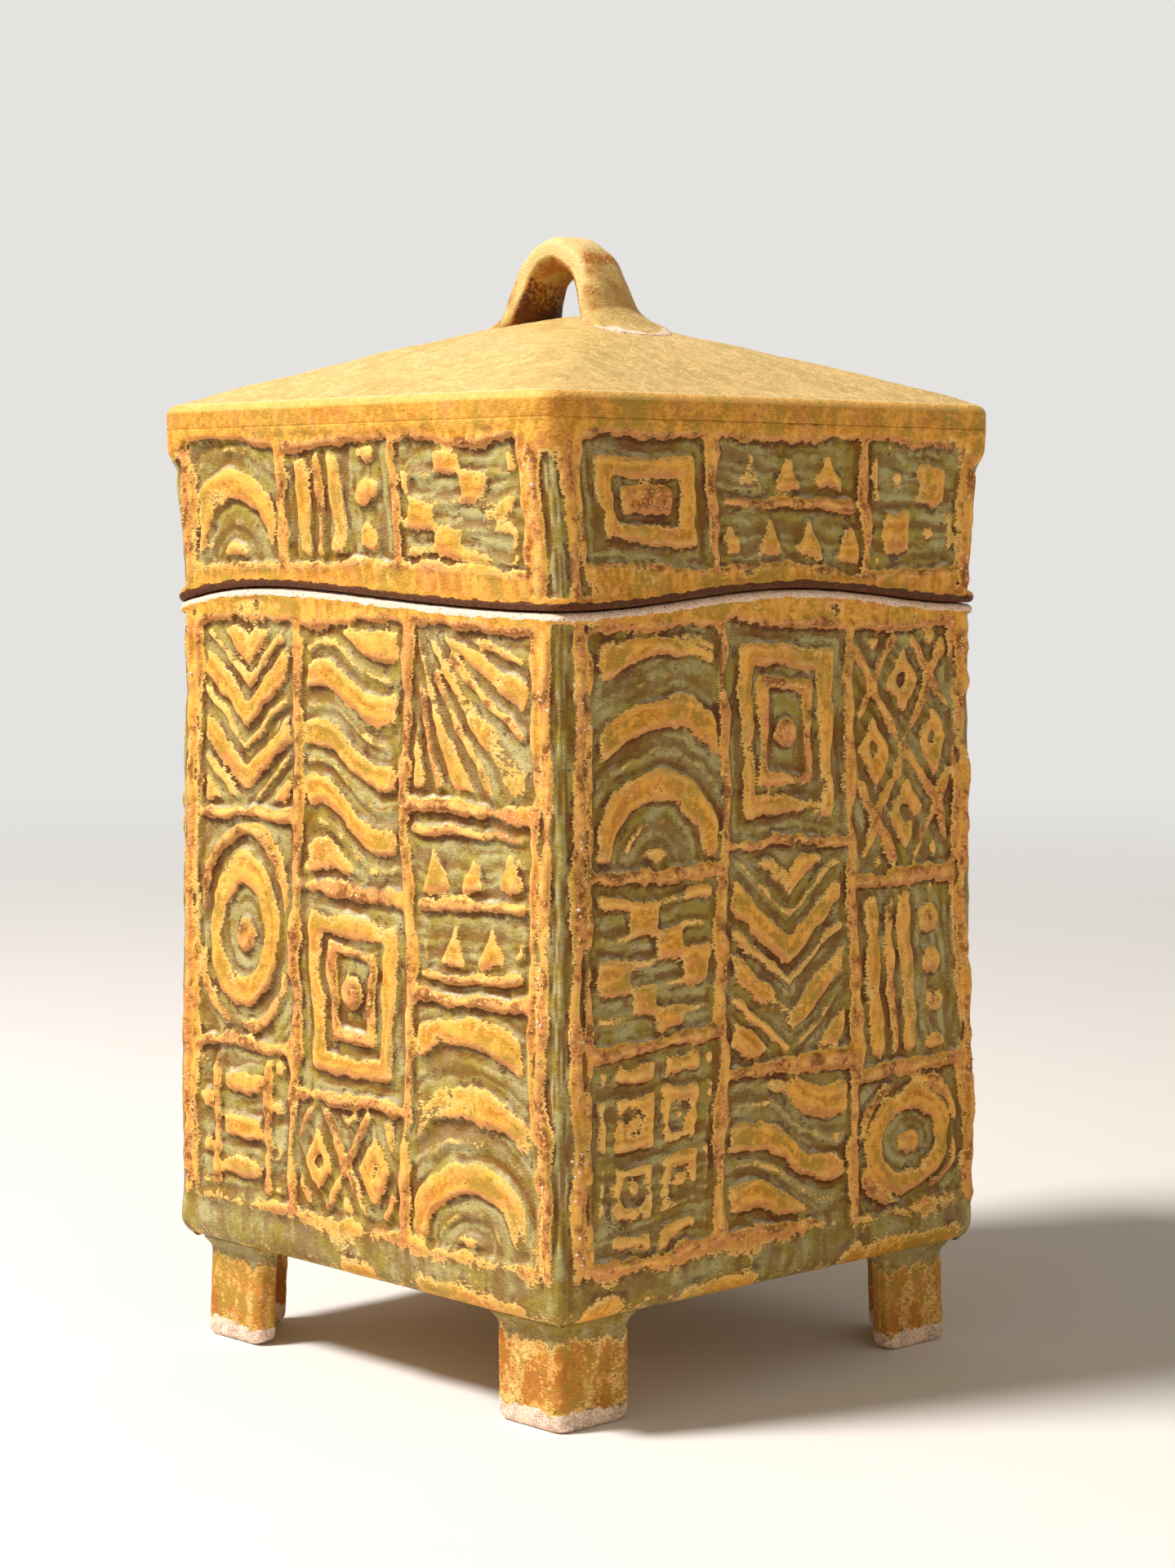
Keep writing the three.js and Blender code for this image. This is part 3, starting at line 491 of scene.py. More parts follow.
def box_wall(side, relief, materials):
    """One wall of the box, with the rounded lower edge, the ornament and the scraped rim."""
    wall = Wall(side)
    for inset in np.linspace(3.0, 0.0, 5):
        wall.outer(FOOT_HEIGHT + 0.25 + 0.15 * wall.noise(inset, 9, 41),
                   box_half(FOOT_HEIGHT) - FLOOR_EDGE_RADIUS - inset, relief=0.5)
    for turn in np.linspace(0, math.pi / 2, 17)[1:]:
        z = FOOT_HEIGHT + FLOOR_EDGE_RADIUS * (1 - math.cos(turn))
        lift = 0.25 * math.cos(turn)
        values = relief.glaze_marks(wall.s, z + lift)
        sunk = RELIEF_DEPTH * math.sin(turn) * (1 - values["relief"])
        wall.outer(z + lift, box_half(z), FLOOR_EDGE_RADIUS * (1 - math.sin(turn)) + sunk, **values)
    top = wall.seam - RIM_RADIUS
    for share in np.linspace(0, 1, 285)[1:]:
        z = mix(FOOT_HEIGHT + FLOOR_EDGE_RADIUS, top, share)
        below = wall.seam - z
        clay = smooth(1.75, 1.15, below + 0.25 * wall.noise(0, 2.5, 42) + 0.2 * wall.noise(0, 0.9, 43))
        values = relief.glaze_marks(wall.s, z, smooth(2.6, 1.4, below), 0.72)
        wall.outer(z, box_half(z), RELIEF_DEPTH * (1 - values["relief"]), clay=clay, **values)
    for turn in np.linspace(0, math.pi / 2, 7)[1:]:
        z = top + RIM_RADIUS * math.sin(turn) + 0.08 * wall.noise(turn, 2, 44)
        wall.outer(z, box_half(z), RELIEF_DEPTH * 0.28 + RIM_RADIUS * (1 - math.cos(turn)),
                   relief=0.72, clay=1.0)
    half = box_half(wall.seam)
    for inset in np.linspace(2.4, WALL - INNER_RADIUS, 4):
        wall.inner(wall.seam + 0.06 * wall.noise(inset, 1.5, 45), half - inset, relief=0.7, clay=1.0)
    for turn in np.linspace(math.pi / 2, 0, 5)[1:]:
        wall.inner(wall.seam - INNER_RADIUS + INNER_RADIUS * math.sin(turn),
                   half - WALL + INNER_RADIUS * (1 - math.cos(turn)), relief=0.7, clay=math.sin(turn))
    for share in np.linspace(0, 1, 40)[1:]:
        z = mix(wall.seam - INNER_RADIUS, FLOOR_TOP - 1.0, share)
        lump = 0.25 * wall.noise(z, 11, 46) * min(1, 6 * share)
        wall.inner(z, box_half(z) - WALL + lump, True, relief=0.55)
    obj = wall.build(f"relief_wall_{SIDES[side]}", materials)
    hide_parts(f"wall_{SIDES[side]}")
    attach(obj, "box")
    return obj


def lid_wall(side, relief, materials):
    """One wall of the lid above the wavy cut, with its brown rounded lip."""
    wall = Wall(side)
    low = wall.seam + SEAM_GAP
    for turn in np.linspace(-math.pi / 2, 0, 7):
        wall.outer(low + LIP_RADIUS + LIP_RADIUS * math.sin(turn), lid_half(low),
                   0.35 + LIP_RADIUS * (1 - math.cos(turn)), relief=0.4, brown=1.0)
    top = ROOF_UNDERSIDE + 0.1
    # The plain band under the eave is taller beside the corners.
    tall = 2.6 + 6 * smooth(9, 2, HALF_RUN - np.abs(wall.run))
    for share in np.linspace(0, 1, 76)[1:]:
        z = mix(low + LIP_RADIUS, top, share)
        rise, below = z - low, top - z
        near_lip = smooth(2.8, 1.7, rise + 0.25 * wall.noise(0, 3, 51))
        under_eave = smooth(tall, 0.35 * tall, below + 0.4 * wall.noise(0, 5, 54))
        values = relief.glaze_marks(wall.s, z, np.maximum(near_lip, under_eave), 0.78)
        luted = 0.42 * smooth(0.9, 0.3, below) * smooth(-0.2, 0.5, wall.noise(0, 4, 55))
        brown = np.maximum(smooth(1.9, 1.0, rise + 0.3 * wall.noise(0, 1.6, 52)), luted)
        wall.outer(z, lid_half(z), RELIEF_DEPTH * (1 - mix(values["relief"], 0.93, under_eave)),
                   brown=brown, amber=0.35 * smooth(7, 2, rise), **values)
    for share in np.linspace(0, 1, 24):
        z = mix(top, low + INNER_RADIUS, share)
        lump = 0.2 * wall.noise(z, 11, 53) * min(1, 6 * share)
        wall.inner(z, lid_half(z) - WALL + lump, True, relief=0.55)
    for turn in np.linspace(0, math.pi / 2, 5)[1:]:
        wall.inner(low + INNER_RADIUS - INNER_RADIUS * math.sin(turn),
                   lid_half(low) - WALL + INNER_RADIUS * (1 - math.cos(turn)), relief=0.5, clay=1.0)
    obj = wall.build(f"lid_relief_{SIDES[side]}", materials)
    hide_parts(f"lid_wall_{SIDES[side]}")
    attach(obj, "lid")
    return obj


def ring(half, radius, arc=12, straight=128):
    """A square outline with rounded corners, the same count of points at every size."""
    points = []
    for corner in range(4):
        middle = (corner + 0.5) * math.pi / 2
        cx, cy = np.sign(math.cos(middle)) * (half - radius), np.sign(math.sin(middle)) * (half - radius)
        turn = (corner + np.linspace(0, 1, arc)) * math.pi / 2
        bend = np.stack([cx + radius * np.cos(turn), cy + radius * np.sin(turn)], -1)
        nx, ny = -cy, cx
        start = bend[-1]
        end = np.array([nx + radius * math.cos(turn[-1]), ny + radius * math.sin(turn[-1])])
        run = start + (end - start) * np.linspace(0, 1, straight + 2)[1:-1, None]
        points += [bend, run]
    return np.concatenate(points)


def laid(xy, z):
    """An outline laid at a height, or at a height for each of its points."""
    return np.column_stack([xy, z + 0 * xy[:, 0]])


def stacked(name, rings, hubs, materials, marks, shift=lambda p: p, second=None):
    """A closed solid through rings of points, from the first hub to the last one."""
    points = np.stack(rings)
    rows, count = points.shape[:2]
    around = np.arange(count)
    ahead = (around + 1) % count
    hub, top = rows * count, (rows - 1) * count
    fans = [(hub, b, a) for a, b in zip(around, ahead)]
    fans += [(hub + 1, top + a, top + b) for a, b in zip(around, ahead)]
    values = {key: np.concatenate([*[np.broadcast_to(v, count) for v in row],
                                   [np.mean(row[0]), np.mean(row[-1])]]) for key, row in marks.items()}
    inner = None if second is None else np.repeat(second[:-1], count)
    return piece(name, shift(np.concatenate([points.reshape(-1, 3), hubs])),
                 quads_of(rows, count, False, True), fans, materials, values, inner)


def hip_radius(width):
    share = width / (EAVE_WIDTH / 2)
    return max(width * mix(0.6, 0, share), min(CORNER_RADIUS, width / 2))


def roof(materials):
    """The roof slab, hand-smoothed, with an uneven rounded edge and faint scrape marks."""
    half = EAVE_WIDTH / 2
    radius = 2.2
    rings, on_edge = [], []
    marks = {"relief": [], "arris": [], "clay": [], "brown": [], "amber": []}
    last = math.pi / 2 - math.atan(ROOF_CROWN * ROOF_RISE / half)
    lip_width = half - radius * (1 - math.cos(last))
    lip_centre = float(roof_at(lip_width)) - radius * math.sin(last)
    eave = lambda width: ring(width, CORNER_RADIUS)

    def add(xy, z, brown=0.0, arris=0.0, ragged=False, amber=0.0):
        """A ring of the roof; a ragged one is uneven and belongs to the edge."""
        if ragged:
            x, y = xy.T
            xy = xy * (1 - (0.12 + 0.12 * cloud(x + y, x - y, 9, 61)) / half)[:, None]
            x, y = xy.T
            amber = np.clip(amber * (1 + cloud(x + y + z, x - y, 6, 65)), 0, 1)
        rings.append(laid(xy, z))
        for key, value in zip(marks, (0.68 if ragged else 0.6, arris, 0.0, brown, amber)):
            marks[key].append(value)
        on_edge.append(ragged and z < lip_centre + 0.8 * radius)

    inside = half - WALL
    ceiling = lambda w: ROOF_UNDERSIDE + ROOF_RISE * (1 - (w / inside) ** ROOF_CROWN)
    for width in np.linspace(0, inside, 22)[1:]:
        add(ring(width, hip_radius(width)), ceiling(width))
    for inset in (3.2, 1.6, 0.4):
        add(eave(half - inset), ROOF_UNDERSIDE, amber=0.6)
    band_low = ROOF_UNDERSIDE + 0.4
    for turn in np.linspace(0, math.pi / 2, 5)[1:]:
        add(eave(half - 0.4 * (1 - math.sin(turn))), band_low - 0.4 * math.cos(turn),
            brown=0.3 - 0.1 * math.sin(turn), ragged=True, amber=0.2)
    for share in np.linspace(0, 1, 5)[1:]:
        add(eave(half), mix(band_low, lip_centre, share), brown=0.2 * (1 - share), ragged=True, amber=0.2)
    for turn in np.linspace(0, last, 8)[1:]:
        add(eave(half - radius * (1 - math.cos(turn))), lip_centre + radius * math.sin(turn),
            arris=0.9 * math.sin(2 * turn), ragged=True, amber=0.1 * math.cos(turn))
    # The slopes, uneven from the hand and faintly scraped.
    for share in np.linspace(0, 1, 88)[1:-1]:
        width = lip_width * (1 - share)
        xy = ring(width, hip_radius(width))
        x, y = xy.T
        hand = 0.35 * cloud(x, y, 19, 62) + 0.16 * cloud(x, y, 7, 63)
        scrape = 0.07 * cloud(x * 0.35 + y * 0.1, y, 1.3, 64)
        eased = smooth(0, 0.1, share)
        add(xy, roof_at(width) + (hand * eased - 0.2 * eased) + scrape)
    hubs = np.array([[0, 0, ceiling(0)], [0, 0, float(roof_at(0)) - 0.2]])
    obj = stacked("smoothed_roof", rings, hubs, materials, marks, leaned, on_edge)
    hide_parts("lid_roof")
    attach(obj, "lid")
    return obj


def spline(values, counts):
    """Rounds a table of stations into a smooth row through all of them."""
    values = np.asarray(values, float)
    padded = np.vstack([2 * values[0] - values[1], values, 2 * values[-1] - values[-2]])
    out = []
    for i in range(len(values) - 1):
        p0, p1, p2, p3 = padded[i:i + 4]
        for t in np.linspace(0, 1, counts, endpoint=False):
            out.append(0.5 * (2 * p1 + (p2 - p0) * t + (2 * p0 - 5 * p1 + 4 * p2 - p3) * t * t
                              + (3 * p1 - p0 - 3 * p2 + p3) * t ** 3))
    out.append(values[-1])
    return np.array(out)


def handle(materials):
    """The pulled strap over the apex, its ends smeared out thin on the roof."""
    shift, leg, toe = -1.6, 9.45, 23.5
    crown = APEX + HANDLE_RISE - HANDLE_THICK / 2

    def half_arch(towards):
        at = lambda reach, z, width, thick, square: (shift + towards * reach, z, width, thick, square)
        on_roof = lambda reach, lift, width, thick: at(
            reach, float(roof_at(abs(shift + towards * reach))) + lift, width, thick, 2.0)
        return [
            at(0.7 * leg, mix(APEX, crown, 0.76), 5.7, 2.9, 3.2),
            at(1.02 * leg, mix(APEX, crown, 0.40), 6.1, 3.3, 2.9),
            on_roof(1.32 * leg, 1.25, 8.2, 3.1),
            on_roof(mix(leg, toe, 0.62), 0.1, 10.0, 1.3),
            on_roof(toe * 0.93, -0.35, 8.0, 0.9),
            on_roof(toe, -0.6, 4.4, 0.7),
        ]

    stations = [*half_arch(-1)[::-1], (shift, crown - 0.1, 5.6, 2.75, 3.3), *half_arch(1)]
    path = spline(stations, 12)
    count = 72
    ahead = np.gradient(path[:, :2], axis=0)
    ahead /= np.linalg.norm(ahead, axis=1)[:, None]
    turn = np.arange(count) / count * 2 * math.pi
    place_x, place_z, wide, thick, square = path.T[:, :, None]
    power = 2 / square
    c, s = np.cos(turn)[None], np.sin(turn)[None]
    y = wide * np.sign(c) * np.abs(c) ** power
    rise = thick * np.sign(s) * np.abs(s) ** power
    lump = 0.3 * cloud(place_x + 0 * c, turn[None] * 6 + 0 * rise, 3.6, 71)
    rise = rise * (1 + 0.12 * lump) + 0.25 * lump
    y = y * (1 + 0.07 * cloud(place_x * 1.4 + 0 * c, 3 * np.sign(c), 4, 72))
    x = place_x - ahead[:, 1][:, None] * rise
    z = place_z + ahead[:, 0][:, None] * rise
    away = np.abs(x - shift)
    z = z - 0.16 * (y + 5.6) * smooth(11, 6, away) * smooth(0.4, -0.6, s)
    base = roof_at(np.maximum(np.abs(x), np.abs(y)))
    z = np.maximum(np.minimum(z, APEX + HANDLE_RISE), base - 0.6)
    # Bare clay at the smeared ends and a worn crest. Under the arch the glaze is made darker, amber and iron
    # brown, and counted as a hollow: partly its own colour and partly painted shade.
    thin = cloud(x * 0.8, y, 3.1, 75) + 0.6 * cloud(x, y, 1.2, 76)
    clay = smooth(0.85, 0.25, z - base + 0.35 * thin) * smooth(4.5, 7.0, away) * 0.9
    soffit = smooth(-0.15, -0.5, s) * smooth(12.5, 9.0, away)
    edge = 0.8 * np.abs(c) ** 3 * smooth(12, 8, away) * (1 - soffit) - soffit
    crest = 0.55 * smooth(-0.1, 0.5, s) * smooth(9, 6, away)
    mottled = cloud(x * 1.3, y + z, 3.4, 73) + 0.5 * cloud(x, y + z * 1.4, 1.3, 74)
    flank = smooth(7.5, 9.5, away) * smooth(16, 12, away) * smooth(-0.2, 0.4, s)
    amber = 1.5 * soffit + flank * smooth(-0.5, 0.3, mottled) + 0.15 * smooth(0.3, 0.8, mottled)
    brown = soffit * (0.16 + 0.5 * smooth(2.5, 8.5, away) + 0.08 * mottled)
    marks = {"relief": 0.66 + 0 * soffit, "arris": np.maximum(edge, crest), "clay": clay,
             "amber": np.clip(amber, 0, 1.5), "brown": np.clip(brown, 0, 1)}
    hubs = [[path[0, 0], 0, z[0].mean()], [path[-1, 0], 0, z[-1].mean()]]
    obj = stacked("pulled_handle", np.stack([x, y, z], -1), hubs, materials, marks)
    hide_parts("handle")
    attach(obj, "lid")
    return obj


def rounded_outline(corners, radii, counts):
    """A polygon with rounded corners, with a fixed count of points for each corner and side."""
    corners = np.asarray(corners, float)
    n = len(corners)
    t = np.linspace(0, 1, 9)[:, None]
    bends = []
    for i in range(n):
        here, back, on = corners[i], corners[i - 1], corners[(i + 1) % n]
        a, b = back - here, on - here
        a, b = a / np.linalg.norm(a), b / np.linalg.norm(b)
        start, end = here + a * radii[i], here + b * radii[i]
        bends.append((1 - t) ** 2 * start + 2 * t * (1 - t) * here + t ** 2 * end)
    parts = []
    for i in range(n):
        start, end = bends[i][-1], bends[(i + 1) % n][0]
        parts += [bends[i], start + (end - start) * np.linspace(0, 1, counts[i] + 2)[1:-1, None]]
    return np.concatenate(parts)


def rounding(radius, z):
    """How far a rounded lower edge stands in at a height."""
    return radius - math.sqrt(z * (2 * radius - z)) if z < radius else 0.0


def foot(corner, materials):
    """A bracket foot under the corner towards +X and -Y, then turned to its own corner."""
    outer = BASE_WIDTH / 2 - FOOT_INSET
    rings, marks = [], {"relief": [], "arris": [], "clay": [], "brown": [], "amber": []}
    levels = np.concatenate([[0, 0.12, 0.4, 0.8], np.linspace(1.3, FOOT_HEIGHT + 0.35, 40)])
    for z in levels:
        bevel = rounding(1.2, z)
        flare = 1.3 * smooth(17.6, 21.0, z) ** 2
        splay = 0.5 * (1 - z / FOOT_HEIGHT)
        o = outer + splay - bevel + flare
        e = outer - FOOT_REACH + splay + bevel + 0.75 * rounding(2.8, z) - flare
        n = outer - FOOT_SLAB + splay + bevel - flare
        xy = rounded_outline([(e, o), (o, o), (o, e), (n, e), (n, n), (e, n)],
                             [1.8, 2.6, 1.8, 1.8, 1.6, 1.8], [26, 26, 3, 16, 16, 3])
        x, y = xy.T
        run = np.arange(len(xy)) * 0.6
        noise = lambda offset, height, size, seed: cloud(run + offset * corner, height + 0 * run, size, seed)
        rough = 0.16 * noise(40, z, 3.1, 81) + 0.07 * noise(0, z, 1.1, 82)
        out = np.sign(np.stack([x - (o + n) / 2, y - (o + n) / 2], -1))
        rings.append(laid((xy + 0.5 * out * rough[:, None] - 0.15 * out) * (1, -1), z))
        ragged = 0.9 * noise(17, 0, 3.4, 83) + 0.5 * noise(0, 0, 1.2, 84)
        brim = smooth(3.3, 3.9, z + ragged) * smooth(5.2, 4.4, z + ragged)
        heel = smooth(2.6, 0.8, np.hypot(x - o, y - o)) * smooth(2.5, 5, z)
        ends = smooth(1.6, 0.6, np.abs(np.minimum(x, y) - e)) * smooth(2.5, 5, z) * 0.8
        drips = 0.12 * noise(23, z / 3, 2.6, 85)
        marks["relief"].append(mix(0.56, 0.2, smooth(14.5, 19.5, z + ragged * 1.5))
                               - 0.1 * smooth(5.5, 3.2, z + ragged) + drips)
        marks["arris"].append(0.4 * ends)
        marks["clay"].append(smooth(3.9, 3.2, z + ragged))
        marks["brown"].append(0.1 * smooth(2.0, 4.0, z) + 0.3 * brim)
        marks["amber"].append(np.clip(0.9 + 0.3 * noise(31, z, 5.5, 86) + 0.3 * heel, 0, 1))
    middle = outer - 2.6
    hubs = np.array([[middle, -middle, 0.0], [middle, -middle, levels[-1]]])
    obj = stacked(f"clay_foot_{CORNERS[corner]}", rings, hubs, materials, marks,
                  lambda p: turned(p, corner))
    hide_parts(f"foot_{CORNERS[corner]}")
    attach(obj, "box")
    return obj


def floor(materials):
    """The floor slab between the walls, under its thin liner glaze."""
    reach = BASE_WIDTH / 2 - WALL + 0.3
    low, high = FOOT_HEIGHT + 0.35, FLOOR_TOP - 0.1
    rings = []
    for widths, z, wave, size, seed in ((np.linspace(0, reach, 14)[1:], low, 0.15, 13, 91),
                                        (np.linspace(reach, 0, 24)[:-1], high, 0.18, 16, 92)):
        for width in widths:
            xy = ring(width, min(3.0, width / 2), arc=8, straight=40)
            rings.append(laid(xy, z + wave * cloud(*xy.T, size, seed)))
    marks = {"relief": [0.5] * len(rings), **dict.fromkeys(("arris", "clay", "brown"), [0.0] * len(rings))}
    obj = stacked("glazed_floor", rings, np.array([[0, 0, low], [0, 0, high]]), materials, marks)
    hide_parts("floor_slab")
    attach(obj, "box")
    return obj


# Materials

def tone(red, green, blue):
    """A colour written as on a screen, turned into light amounts."""
    return tuple(c / 12.92 if c <= 0.04045 else ((c + 0.055) / 1.055) ** 2.4
                 for c in (red / 255, green / 255, blue / 255)) + (1.0,)


class Nodes:
    """Adds nodes to a tree. An input that is given a socket is linked, and any other is set."""

    def __init__(self, tree):
        self.tree = tree

    def add(self, kind, inputs=None, **settings):
        node = self.tree.nodes.new(kind)
        for key, value in settings.items():
            setattr(node, key, value)
        for key, value in (inputs or {}).items():
            self.give(node.inputs[key], value)
        return node

    def give(self, socket, value):
        if isinstance(value, bpy.types.NodeSocket):
            self.tree.links.new(value, socket)
        else:
            socket.default_value = value

    def noise(self, place, size, detail=2.0, stretch=None):
        """Noise from 0 to 1 with blotches of a size in millimetres, drawn out by stretch."""
        if stretch:
            place = self.add("ShaderNodeVectorMath", {0: place, 1: stretch}, operation="MULTIPLY").outputs[0]
        return self.add("ShaderNodeTexNoise", {"Vector": place, "Scale": 1000 / size, "Detail": detail,
                                               "Roughness": 0.55}).outputs["Fac"]

    def calc(self, operation, *terms):
        return self.add("ShaderNodeMath", dict(enumerate(terms)), operation=operation).outputs[0]

    def times(self, a, b):
        return self.calc("MULTIPLY", a, b)

    def most(self, a, b):
        return self.calc("MAXIMUM", a, b)

    def sums(self, *terms):
        """Adds value times weight for each pair, and a bare number."""
        total = None
        for term in terms:
            value = self.times(*term) if isinstance(term, tuple) else term
            total = value if total is None else self.calc("ADD", total, value)
        return total

    def step(self, value, low, high, to_low=0.0, to_high=1.0):
        node = self.add("ShaderNodeMapRange", {"Value": value, "From Min": low, "From Max": high,
                                               "To Min": to_low, "To Max": to_high},
                        interpolation_type="SMOOTHSTEP")
        return node.outputs["Result"]

    def blend(self, share, a, b):
        return self.add("ShaderNodeMix", {0: share, 6: a, 7: b}, data_type="RGBA").outputs[2]

    def mark(self, name):
        """A point attribute that the mesh carries."""
        return self.add("ShaderNodeAttribute", attribute_name=name).outputs["Fac"]

    def seen(self):
        """1 for rays that meet a thing directly, mirrored or through glass."""
        rays = self.add("ShaderNodeLightPath").outputs
        mirrored = self.most(rays["Is Glossy Ray"], rays["Is Transmission Ray"])
        return self.most(rays["Is Camera Ray"], mirrored)


def group(name, inputs, outputs, fill):
    """A shader node group with named inputs and outputs."""
    tree = bpy.data.node_groups.new(name, "ShaderNodeTree")
    kinds = {"c": "NodeSocketColor", "f": "NodeSocketFloat", "v": "NodeSocketVector"}
    for key, kind in inputs.items():
        tree.interface.new_socket(key, in_out="INPUT", socket_type=kinds[kind])
    for key, kind in outputs.items():
        tree.interface.new_socket(key, in_out="OUTPUT", socket_type=kinds[kind])
    nodes = Nodes(tree)
    results = fill(nodes, nodes.add("NodeGroupInput").outputs)
    nodes.add("NodeGroupOutput", results)
    return tree


def fill_break(n, given):
    """Glaze that pools green in the hollows, lies ochre on raised ground and breaks on the ridges."""
    place, relief, soft, arris = given["Place"], given["Relief"], given["Soft"], given["Arris"]
    shelf, strokes = given["Shelf"], given["Strokes"]
    serrated = n.noise(place, 0.5, 4.0, (0.5, 0.5, 1.4))
    ragged = n.noise(place, 1.3, 3.0)
    drift = n.noise(place, 3.6, 2.0)
    patchy = n.noise(place, 7.0, 2.0)
    wide = n.noise(place, 15.0, 2.0)
    # Where the glaze is thin enough to turn ochre, with a ragged edge.
    level = n.sums((relief, 0.45), (soft, 0.55), (serrated, 0.46), (ragged, 0.34),
                   (drift, 0.22), (strokes, 0.05), -0.51)
    raised = n.step(level, 0.37, 0.42)
    rim = n.times(n.step(level, 0.37, 0.40), n.step(level, 0.56, 0.44))
    edge = n.step(n.sums(arris, (ragged, 0.7), (serrated, 0.4), -0.55), 0.26, 0.5)
    under = n.step(n.sums(shelf, (ragged, 0.7), (serrated, 0.5), -0.6), -0.22, -0.62)
    ledge = n.step(n.sums(shelf, (drift, 0.7), (ragged, 0.4), -0.55), 0.34, 0.75)
    # The pools are olive, lighter and milkier in clouds. Beside the ridges they take the deep tint, partly
    # glaze lying deeper and partly painted shade.
    milk = n.step(n.sums(drift, (wide, 0.9), (serrated, 0.4)), 0.96, 1.32, 0.0, 0.85)
    pool = n.blend(milk, given["Pool"], given["Pool Light"])
    furrows = n.step(n.sums((strokes, 0.36), (ragged, 0.4), (serrated, 0.4)), 0.22, 0.56, 0.65, 0.0)
    pool = n.blend(furrows, pool, given["Deep Pool And Shade"])
    hollow_shade = n.times(n.step(n.sums(arris, (serrated, 0.6), (strokes, 0.08), -0.3), -0.2, -0.46),
                     n.step(n.sums((patchy, 0.6), (drift, 0.4)), 0.44, 0.60, 0.15, 0.8))
    pool = n.blend(hollow_shade, pool, given["Deep Pool And Shade"])
    # A thin dark line in the crease where the pool meets a raised edge, here and there: painted shade,
    # partly glaze pooled dark.
    meeting = n.times(n.step(level, 0.18, 0.30), n.step(n.sums((drift, 0.7), (patchy, 0.5)), 0.52, 0.66))
    pool = n.blend(n.times(meeting, n.step(arris, -0.03, -0.2, 0.0, 0.9)), pool, given["Crevice Shade"])
    # Upward-facing ledges turn milky white, partly glaze pooled there and partly a painted reflection of the
    # light above.
    pool = n.blend(n.times(ledge, n.step(patchy, 0.42, 0.60, 0.5, 0.9)), pool, given["Milk And Sheen"])
    # The ochre is mottled, greener where the glaze lies thicker and pinker where it is thin.
    grain = n.sums((ragged, 0.5), (drift, 0.4), (serrated, 0.5), (strokes, -0.16))
    mottle = n.times(n.step(grain, 0.58, 0.82),
                     n.step(n.sums(soft, (ragged, 0.2), -0.1), 0.5, 0.66, 0.35, 1.0))
    ground = n.blend(mottle, given["Raised"], given["Mottle"])
    ground = n.blend(n.times(given["Amber"], n.step(grain, 0.52, 0.80, 0.55, 1.0)), ground, given["Toast"])
    flecks = n.step(n.sums((serrated, 0.6), (ragged, 0.3), (strokes, 0.12)), 0.50, 0.70, 0.0, 0.42)
    ground = n.blend(n.times(flecks, n.step(given["Amber"], 0, 1, 1, 0.3)), ground, given["Thin"])
    blush = n.step(n.sums(patchy, (ragged, 0.4)), 0.70, 0.90, 0.0, 0.5)
    ground = n.blend(blush, ground, given["Ridge"])
    green = n.step(n.sums(wide, (drift, 0.8), (ragged, 0.4), (serrated, 0.3)), 1.20, 1.44, 0.0, 0.75)
    ground = n.blend(green, ground, given["Wash"])
    colour = n.blend(raised, pool, ground)
    break_line = n.times(rim, n.step(n.sums(patchy, (drift, 0.5)), 0.6, 0.9, 0.45, 0.9))
    colour = n.blend(break_line, colour, given["Thin"])
    # The lower, downward-facing edges of the raised parts turn pinkish brown.
    brow = n.step(n.sums(shelf, (ragged, 0.6), (serrated, 0.4), -0.5), -0.04, -0.34)
    colour = n.blend(n.times(n.times(brow, raised), 0.75), colour, given["Ridge"])
    colour = n.blend(n.times(edge, 0.4), colour, given["Thin"])
    # Ridges break to the clay's pinkish brown, with iron spots and small bright grains.
    ridge = n.times(n.step(n.sums(given["Crest"], (ragged, 0.5), (serrated, 0.5), -0.5), 0.34, 0.62),
                    n.step(n.sums((patchy, 0.7), (drift, 0.5)), 0.48, 0.66, 0.1, 1.0))
    spots = n.step(n.sums((drift, 0.7), (ragged, 0.6), (serrated, 0.3)), 0.78, 0.94)
    crest_colour = n.blend(spots, given["Ridge"], given["Spots"])
    crest_colour = n.blend(n.step(n.noise(place, 0.6, 1.0), 0.60, 0.70), crest_colour, given["Thin"])
    colour = n.blend(n.times(ridge, 0.85), colour, crest_colour)
    # Painted shadow under the downward-facing edges of the relief, in the crevice tint, partly thin glaze
    # there.
    colour = n.blend(n.times(under, n.step(raised, 0, 1, 0.85, 0.25)), colour, given["Crevice Shade"])
    gloss = n.sums((raised, 0.12), (ridge, 0.08), (ragged, 0.2), 0.26)
    lift = n.sums((raised, 0.7), (serrated, 1.3), (ragged, 0.7), (strokes, 0.3), (rim, 0.3))
    return {"Color": colour, "Roughness": gloss, "Height": lift}


def fill_clay(n, given):
    """Bare fired clay: fine sand, a few dark iron specks."""
    place = given["Place"]
    sand = n.noise(place, 0.5, 3.0)
    colour = n.blend(n.step(sand, 0.35, 0.7), given["Dark"], given["Light"])
    specks = n.step(n.noise(place, 0.8, 1.0), 0.70, 0.76)
    return {"Color": n.blend(specks, colour, given["Specks"]), "Height": n.sums((sand, 0.5), (specks, -0.5))}


def fill_skin(n, given):
    """The glaze's own surface: soft orange peel, pinholes and grains that stand up through it."""
    place = given["Place"]
    peel = n.noise(place, 1.6, 2.0)
    fine = n.noise(place, 0.34, 2.0)
    cells = n.add("ShaderNodeTexVoronoi", {"Vector": place, "Scale": 1000 / 1.9, "Randomness": 1.0})
    pinhole = n.step(cells.outputs["Distance"], 0.10, 0.16)
    return {"Height": n.sums((peel, 0.6), (fine, 0.5), (pinhole, 0.5)), "Pinholes": pinhole}


